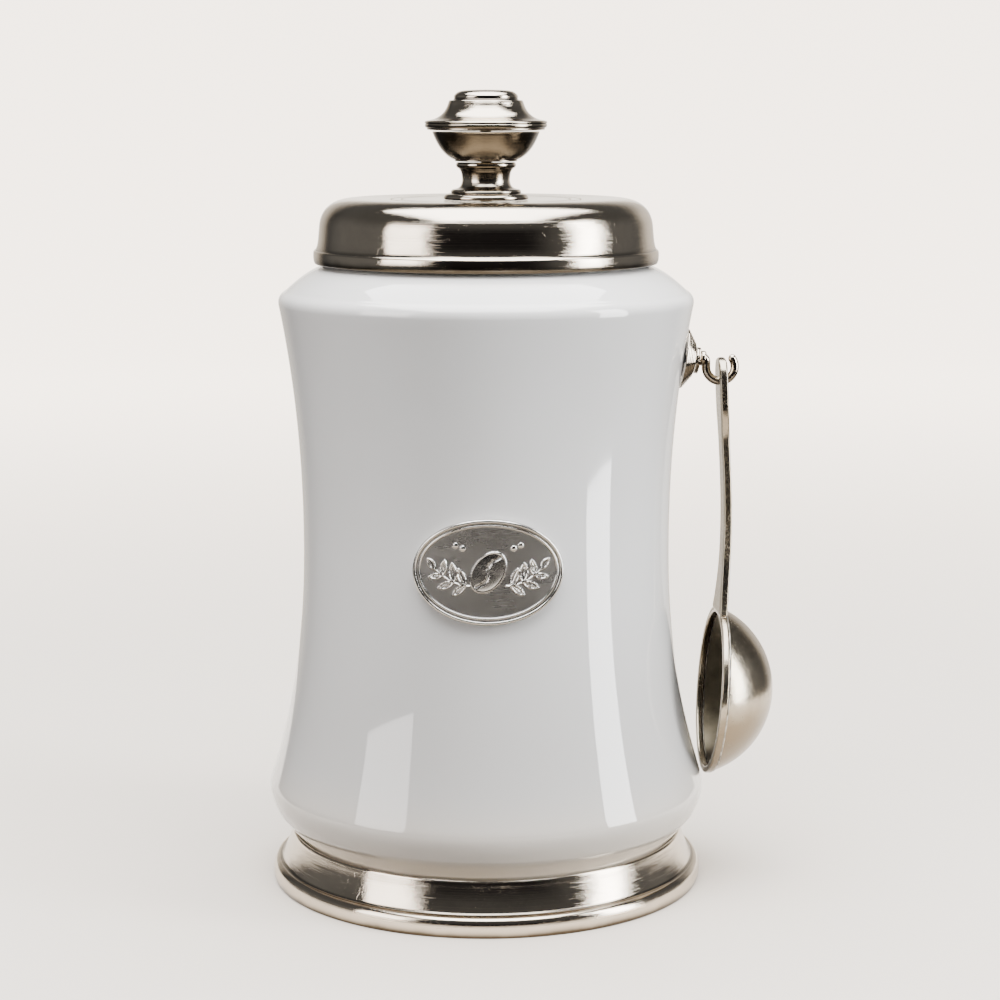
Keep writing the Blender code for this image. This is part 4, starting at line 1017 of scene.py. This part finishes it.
def pewter(name, bright, dark, under, gloss, lines, patches, pits=0.0, line_spacing=0.22):
    """Turned pewter: lathe lines, scuffs, dark deposit in its grooves, painted shade in the colour under on
    its undersides and, where cast, pits.
    """
    material, tree, shader = new_material(name, Metallic=1.0)
    patina_and_shade = use_group(tree, PATINA_AND_SHADE, Hollows=0.85, Patches=patches, Scale=55.0)
    deposit = patina_and_shade["Deposit"]
    turned_lines = use_group(tree, LATHE, Spacing=line_spacing, Unevenness=0.35)["Lines"]
    scuffs = use_group(tree, SCUFFS, Scale=420.0, Share=0.7)["Scuffs"]
    holes = use_group(tree, PITS, Scale=420.0, Radius=0.22, Share=pits)["Pits"]
    mottle = ramp(tree, noise(tree, 90.0, 5.0), 0.35, 0.7)
    base = blend_colour(tree, mottle, bright, tuple(0.93 * part for part in bright))
    # Painted shade: the colour under darkens the downward-facing surfaces.
    base = blend_colour(tree, patina_and_shade["Painted Underside Shade"], base, under)
    base = blend_colour(tree, deposit, base, dark)
    base = blend_colour(tree, times(tree, holes, 0.8), base, (0.06, 0.055, 0.05))
    link(base, shader["Base Color"])
    rough = plus(tree, ramp(tree, turned_lines, 0.3, 0.7, gloss, gloss + 0.025),
                  times(tree, deposit, 0.14))
    rough = plus(tree, rough, times(tree, scuffs, 0.07))
    rough = plus(tree, rough, times(tree, mottle, 0.015), True)
    link(rough, shader["Roughness"])
    grain = bump(tree, noise(tree, 2200.0, 2.0, 0.6), 0.00002, 0.35)
    ripple = bump(tree, noise(tree, 160.0, 2.0, 0.5), 0.0002, 0.25, grain)
    grooves = bump(tree, turned_lines, 0.00004 * lines, 0.6, ripple)
    marks = maths(tree, "SUBTRACT", times(tree, scuffs, -0.15), holes)
    link(bump(tree, marks, 0.00012, 0.6, grooves), shader["Normal"])
    return material


def scoop_pewter():
    """Hand-finished casting: satin, grainy, pitted, brown and dull on the inside of the bowl, with painted
    shade on the undersides of its outside.
    """
    material, tree, shader = new_material("scoop_pewter", Metallic=1.0)
    inside = attribute(tree, "inside")
    grain = noise(tree, 900.0, 4.0, 0.7)
    cloud = ramp(tree, noise(tree, 60.0, 5.0), 0.35, 0.7)
    holes = use_group(tree, PITS, Scale=330.0, Radius=0.30, Share=0.16)["Pits"]
    patina_and_shade = use_group(tree, PATINA_AND_SHADE, Hollows=0.9, Patches=0.45, Scale=90.0)
    deposit = patina_and_shade["Deposit"]
    scuffs = use_group(tree, SCUFFS, Scale=380.0, Share=0.8)["Scuffs"]
    outside = blend_colour(tree, cloud, (0.44, 0.39, 0.31), (0.35, 0.295, 0.22))
    within = blend_colour(tree, cloud, (0.11, 0.094, 0.066), (0.05, 0.042, 0.028))
    # Painted shade: dark brown on the downward-facing outside of the scoop.
    outside = blend_colour(tree, times(tree, patina_and_shade["Painted Underside Shade"], 0.8), outside, (0.165, 0.128, 0.083))
    base = blend_colour(tree, inside, outside, within)
    base = blend_colour(tree, times(tree, deposit, 0.7), base, (0.17, 0.15, 0.12))
    base = blend_colour(tree, times(tree, holes, 0.85), base, (0.05, 0.045, 0.04))
    link(base, shader["Base Color"])
    rough = ramp(tree, grain, 0.3, 0.7, 0.16, 0.26)
    rough = plus(tree, rough, times(tree, inside, 0.12))
    rough = plus(tree, rough, times(tree, scuffs, 0.08), True)
    link(rough, shader["Roughness"])
    ripple = bump(tree, noise(tree, 120.0, 3.0, 0.5), 0.0003, 0.4)
    texture = bump(tree, grain, 0.00004, 0.5, ripple)
    link(bump(tree, times(tree, holes, -1.0), 0.00018, 0.8, texture), shader["Normal"])
    return material


def solder():
    """Lumpy grey solder, dull and dark in its dips."""
    material, tree, shader = new_material("solder_seam", Metallic=1.0)
    lumps = noise(tree, 420.0, 5.0, 0.65, 0.4)
    colour = blend_colour(tree, ramp(tree, lumps, 0.35, 0.65), (0.15, 0.135, 0.11), (0.46, 0.43, 0.38))
    link(colour, shader["Base Color"])
    link(ramp(tree, lumps, 0.3, 0.7, 0.5, 0.28), shader["Roughness"])
    link(bump(tree, lumps, 0.0003, 0.8), shader["Normal"])
    return material


def fine_plastic(name, light, deep, gloss, grain):
    """Moulded plastic or rubber: matt grain, slight marbling and rubbed patches."""
    material, tree, shader = new_material(name, IOR=1.48)
    flow = ramp(tree, noise(tree, 35.0, 4.0, 0.6, 1.2), 0.35, 0.7)
    link(blend_colour(tree, flow, light, deep), shader["Base Color"])
    scuffs = use_group(tree, SCUFFS, Scale=260.0, Share=0.5)["Scuffs"]
    rough = plus(tree, ramp(tree, flow, 0.0, 1.0, gloss, gloss + 0.08), times(tree, scuffs, 0.15))
    link(rough, shader["Roughness"])
    link(bump(tree, noise(tree, grain, 3.0, 0.6), 0.00005, 0.5), shader["Normal"])
    return material


def felt():
    """Dense dark green felt: crossing fibres of two stretched noises."""
    material, tree, shader = new_material("felt", Roughness=0.95, Sheen_Weight=0.35, Sheen_Roughness=0.6)
    place = object_place(tree)
    layers = []
    for rotation, stretch in (((0, 0, 0.5), (1, 0.15, 1)), ((0, 0, 2.1), (1, 0.15, 1))):
        turned_place = add(tree, "Mapping", {"Vector": place, "Rotation": rotation, "Scale": stretch})
        layers.append(add(tree, "TexNoise", {"Vector": turned_place.outputs[0], "Scale": 1800.0,
                                             "Detail": 3.0}).outputs["Fac"])
    fibres = maths(tree, "MAXIMUM", *layers)
    colour = blend_colour(tree, ramp(tree, fibres, 0.4, 0.75), (0.018, 0.030, 0.022), (0.055, 0.080, 0.060))
    link(colour, shader["Base Color"])
    link(bump(tree, fibres, 0.0003, 0.9), shader["Normal"])
    return material


def steel():
    """Plain zinc-grey steel: fine brushing and a little darkening."""
    material, tree, shader = new_material("fastener_steel", Metallic=1.0)
    cloud = ramp(tree, noise(tree, 220.0, 4.0), 0.35, 0.7)
    link(blend_colour(tree, cloud, (0.60, 0.60, 0.60), (0.47, 0.46, 0.44)), shader["Base Color"])
    link(ramp(tree, noise(tree, 900.0, 3.0), 0.3, 0.7, 0.22, 0.36), shader["Roughness"])
    link(bump(tree, noise(tree, 1400.0, 2.0), 0.00002, 0.5), shader["Normal"])
    return material


# ---------------------------------------------------------------- assembling
def place_piece(piece, body, node, finish):
    """Gives a piece the material of its finish and its body, and hides the CAD node that it stands for.

    The attribute "facing" is the upward part of the normal at each point."""
    slot, material = finish
    add_attribute(piece.data, "facing", point_array(piece.data, "normal")[:, 2])
    piece.data.materials.clear()
    piece.data.materials.append(material)
    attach(piece, body)
    if node:
        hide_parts(node)


def dress_cad_node(node, finish):
    """Gives a CAD node that stays its finish."""
    thing = frame["nodes"][node]
    thing.data.materials.clear()
    thing.data.materials.append(finish[1])


def build_jar(finishes):
    """Everything that stands on the table."""
    radius, low, high = size_of("foot_felt")
    place_piece(turned("glazed_jar", jar_outline(), 288), "jar", "jar_body", finishes["glaze"])
    place_piece(turned("foot_moulding", foot_ring_outline(), 240), "jar", "foot_ring", finishes["pewter"])
    base = turned("felt_base", disc(radius, low, high, soft=0.5), 160)
    place_piece(base, "jar", "foot_felt", finishes["felt"])
    place_piece(make_label(), "jar", "label_plate", finishes["label"])


def build_hook(finishes):
    """Rosette, boss, rod, and the fastening on the inside of the wall."""
    metal, steel_finish = finishes["small_pewter"], finishes["steel"]
    place_piece(turned("stepped_rosette", rosette_outline(), 128, hook_place), "jar", "hook_rosette", metal)
    place_piece(turned("round_boss", boss_outline(), 96, hook_place), "jar", "hook_boss", metal)
    place_piece(make_hook_arm(), "jar", "hook_arm", metal)
    collar = hook_place @ Matrix.Translation((-0.95, 0, 0))
    start, end = BOSS_FACE + 0.1, BOSS_FACE + 1.9
    rod_root = [(0, end, 0), (2.35, end, 0.35), (2.6, end - 0.5, 0.3), (2.6, start + 0.4, 0.3),
                (2.2, start, 0.1), (0, start, 0)]
    rod_collar = turned("rod_collar", rounded(rod_root, 0.8, False), 96, collar)
    place_piece(rod_collar, "jar", None, metal)
    inner_face = -JAR_WALL - 0.7
    washer = turned("inner_washer", disc(5.5, inner_face - 1.0, inner_face, HOOK_BORE, 0.3), 96, hook_place)
    place_piece(washer, "jar", "hook_washer", finishes["rubber"])
    nut = hexagon_nut("inner_nut", inner_face - 3.9, inner_face - 1.3, 4.0, HOOK_BORE, hook_place)
    place_piece(nut, "jar", "hook_nut", steel_finish)
    stud = thread("inner_stud", 1.5, inner_face - 4.7, BOSS_FACE - 0.7, 0.6, hook_place)
    place_piece(stud, "jar", "hook_stud", steel_finish)


def build_lid(finishes):
    """Lid shell, plug, seal, knob and their fastening."""
    turned_pieces = (("lid_cap", lid_outline(), 256, "lid_shell", "pewter"),
                     ("ivory_plug", plug_outline(), 200, "lid_plug", "plastic"),
                     ("lip_seal", seal_outline(), 200, "lid_seal", "rubber"),
                     ("knob_foot", pedestal_outline(), 160, "knob_pedestal", "small_pewter"),
                     ("knob_bowl", cup_outline(), 160, "knob_cup", "small_pewter"),
                     ("knob_top", cap_outline(), 160, "knob_cap", "small_pewter"),
                     ("plug_washer", disc(6.0, *size_of("knob_washer")[1:], STUD_BORE), 96,
                      "knob_washer", "steel"))
    for name, outline, around, node, finish in turned_pieces:
        place_piece(turned(name, outline, around), "lid", node, finishes[finish])
    nut = hexagon_nut("plug_nut", *size_of("knob_nut")[1:], 4.2, STUD_BORE)
    place_piece(nut, "lid", "knob_nut", finishes["steel"])
    place_piece(thread("plug_stud", 2.0, *size_of("knob_stud")[1:]), "lid", "knob_stud", finishes["steel"])


def build_scoop(finishes):
    """Cast handle with rim ring, spun bowl and the solder between them."""
    place_piece(make_handle(), "scoop", "scoop_handle", finishes["scoop"])
    place_piece(make_bowl(), "scoop", "scoop_bowl", finishes["scoop"])
    place_piece(make_solder(), "scoop", None, finishes["solder"])


# ---------------------------------------------------------------- studio, metres
TABLE_RADIUS = 0.40             # the part of the table that shows in polished metal
COVE_RADIUS = 1.2
CAMERA_LENS = 87.05
CAMERA_AZIMUTH = math.radians(-0.86)
CAMERA_PITCH = math.radians(9.2155)
CAMERA_DISTANCE = 0.8192
CAMERA_OFFSET = 0.0047          # sideways
CAMERA_HEIGHT = 0.264


def soft_box(name, place, target, width, height, power, colour=(1, 1, 1)):
    """Rectangular light at a place, turned to a target, unseen by the camera itself."""
    data = bpy.data.lights.new(name, "AREA")
    data.shape = "RECTANGLE"
    data.size, data.size_y = width, height
    data.energy = power
    data.color = colour
    lamp = bpy.data.objects.new(name, data)
    lamp.location = place
    lamp.rotation_euler = (Vector(place) - Vector(target)).to_track_quat("Z", "Y").to_euler()
    lamp.visible_camera = False
    bpy.context.scene.collection.objects.link(lamp)


def around_jar(azimuth, distance, height):
    """Point at an azimuth from the front, positive towards the hook's side."""
    angle = math.radians(azimuth)
    return (distance * math.sin(angle), -distance * math.cos(angle), height)


def studio_surface(name, outline, mirrored):
    """Turned part of the floor and cove, outline in metres: it glows far away, and may show in metal."""
    piece = turned(name, np.array(outline) / MM, 160)
    material, tree, shader = new_material(name + "_paper", Roughness=0.9, Emission_Strength=1.0)
    shade = ramp(tree, noise(tree, 3.0, 2.0), 0.3, 0.7)
    colour = blend_colour(tree, shade, (0.83, 0.76, 0.68), (0.81, 0.74, 0.66))
    link(colour, shader["Base Color"])
    place = object_place(tree)
    distance = add(tree, "VectorMath", {0: place}, operation="LENGTH").outputs["Value"]
    far = ramp(tree, distance, 0.10, 1.7)
    link(blend_colour(tree, far, (0, 0, 0), (4.6, 4.0, 3.4)), shader["Emission Color"])
    piece.data.materials.append(material)
    piece.visible_glossy = mirrored
    piece.visible_diffuse = False
    piece.visible_shadow = False


def build_studio():
    """Pale table and cove, three soft boxes and a world that is dark in front and pale behind."""
    studio_surface("table_top", [(0, 0), (TABLE_RADIUS, 0), (TABLE_RADIUS, -0.01), (0, -0.01)], True)
    cove = [(TABLE_RADIUS, 0.0), (0.8, 0.0), (1.3, 0.0), (1.8, 0.0)]
    cove += [(1.8 + COVE_RADIUS * math.sin(a), COVE_RADIUS * (1 - math.cos(a)))
             for a in np.linspace(0.1, math.pi / 2, 16)]
    cove += [(3.0, 5.0), (3.02, 5.0), (3.02, -0.01), (TABLE_RADIUS, -0.01)]
    studio_surface("studio_cove", cove, False)
    soft_box("overhead_box", (0.0, -0.18, 1.40), (0, -0.18, 0), 1.50, 1.70, 88)
    soft_box("right_box", around_jar(71, 1.05, 0.36), (0, 0, 0.24), 0.34, 0.98, 20)
    soft_box("left_box", around_jar(-56, 1.10, 0.43), (0, 0, 0.22), 0.57, 0.62, 8, (1.0, 0.95, 0.92))
    world = bpy.data.worlds.new("studio_world")
    bpy.context.scene.world = world
    world.use_nodes = True
    tree = world.node_tree
    background = tree.nodes["Background"]
    direction = add(tree, "TexCoord").outputs["Generated"]
    parts = add(tree, "SeparateXYZ", {0: direction}).outputs
    sideways = ramp(tree, maths(tree, "ABSOLUTE", parts[0]), 0.45, 0.95)
    front = blend_colour(tree, sideways, (0.013, 0.012, 0.013), (0.17, 0.17, 0.17))
    wall = blend_colour(tree, ramp(tree, parts[0], -0.5, 0.5), (1.1, 0.99, 0.85), (1.25, 1.14, 1.0))
    turned_back = plus(tree, parts[1], ramp(tree, parts[0], -0.2, 0.3, 0.0, 0.12))
    colour = blend_colour(tree, ramp(tree, turned_back, 0.72, 0.97), front, wall)
    colour = blend_colour(tree, ramp(tree, parts[1], 0.965, 0.995), colour, (2.7, 2.5, 2.2))
    colour = blend_colour(tree, ramp(tree, parts[2], 0.15, 0.55), colour, (0.10, 0.10, 0.10))
    link(colour, background.inputs["Color"])


def build_camera():
    """Camera in front of the jar, a little above it, looking down."""
    camera = bpy.data.cameras.new("camera")
    camera.lens = CAMERA_LENS
    camera.sensor_width = 36.0
    camera.dof.use_dof = False
    holder = bpy.data.objects.new("camera", camera)
    along, across = math.sin(CAMERA_AZIMUTH), math.cos(CAMERA_AZIMUTH)
    holder.location = (CAMERA_DISTANCE * along + CAMERA_OFFSET * across,
                       CAMERA_OFFSET * along - CAMERA_DISTANCE * across, CAMERA_HEIGHT)
    holder.rotation_euler = (math.pi / 2 - CAMERA_PITCH, 0, CAMERA_AZIMUTH)
    bpy.context.scene.collection.objects.link(holder)
    bpy.context.scene.camera = holder


def build_scene():
    """Finishes, pieces, studio and camera."""
    bright = (0.66, 0.58, 0.475)
    finishes = {
        "glaze": ("white_glaze", glaze()),
        # The fourth colour of each pewter finish, under, is painted shade on its undersides.
        "pewter": ("polished_pewter", pewter("turned_pewter", bright, (0.10, 0.09, 0.08),
                                             (0.085, 0.066, 0.045), 0.04, 1.0, 0.10)),
        "small_pewter": ("polished_pewter", pewter("knob_pewter", bright, (0.08, 0.07, 0.06),
                                                   (0.06, 0.048, 0.033), 0.04, 1.2, 0.12)),
        "label": ("dark_pewter", pewter("label_pewter", (0.60, 0.59, 0.57), (0.13, 0.13, 0.135),
                                        (0.20, 0.18, 0.15), 0.17, 0.0, 0.04, 0.03, 4.0)),
        "scoop": ("worn_pewter", scoop_pewter()),
        "solder": ("worn_pewter", solder()),
        "plastic": ("plug_plastic", fine_plastic("ivory_plastic", (0.76, 0.74, 0.68), (0.71, 0.68, 0.61),
                                                 0.34, 900.0)),
        "rubber": ("silicone", fine_plastic("grey_silicone", (0.62, 0.62, 0.60), (0.54, 0.54, 0.52),
                                            0.42, 700.0)),
        "bond": ("bond", fine_plastic("cured_bond", (0.60, 0.57, 0.50), (0.48, 0.45, 0.38), 0.55, 300.0)),
        "felt": ("felt", felt()),
        "steel": ("steel", steel()),
    }
    build_jar(finishes)
    build_hook(finishes)
    build_lid(finishes)
    build_scoop(finishes)
    for node, finish in (("foot_bond", "bond"), ("label_pad", "bond"), ("hook_gasket", "rubber")):
        dress_cad_node(node, finishes[finish])
    build_studio()
    build_camera()


build_scene()
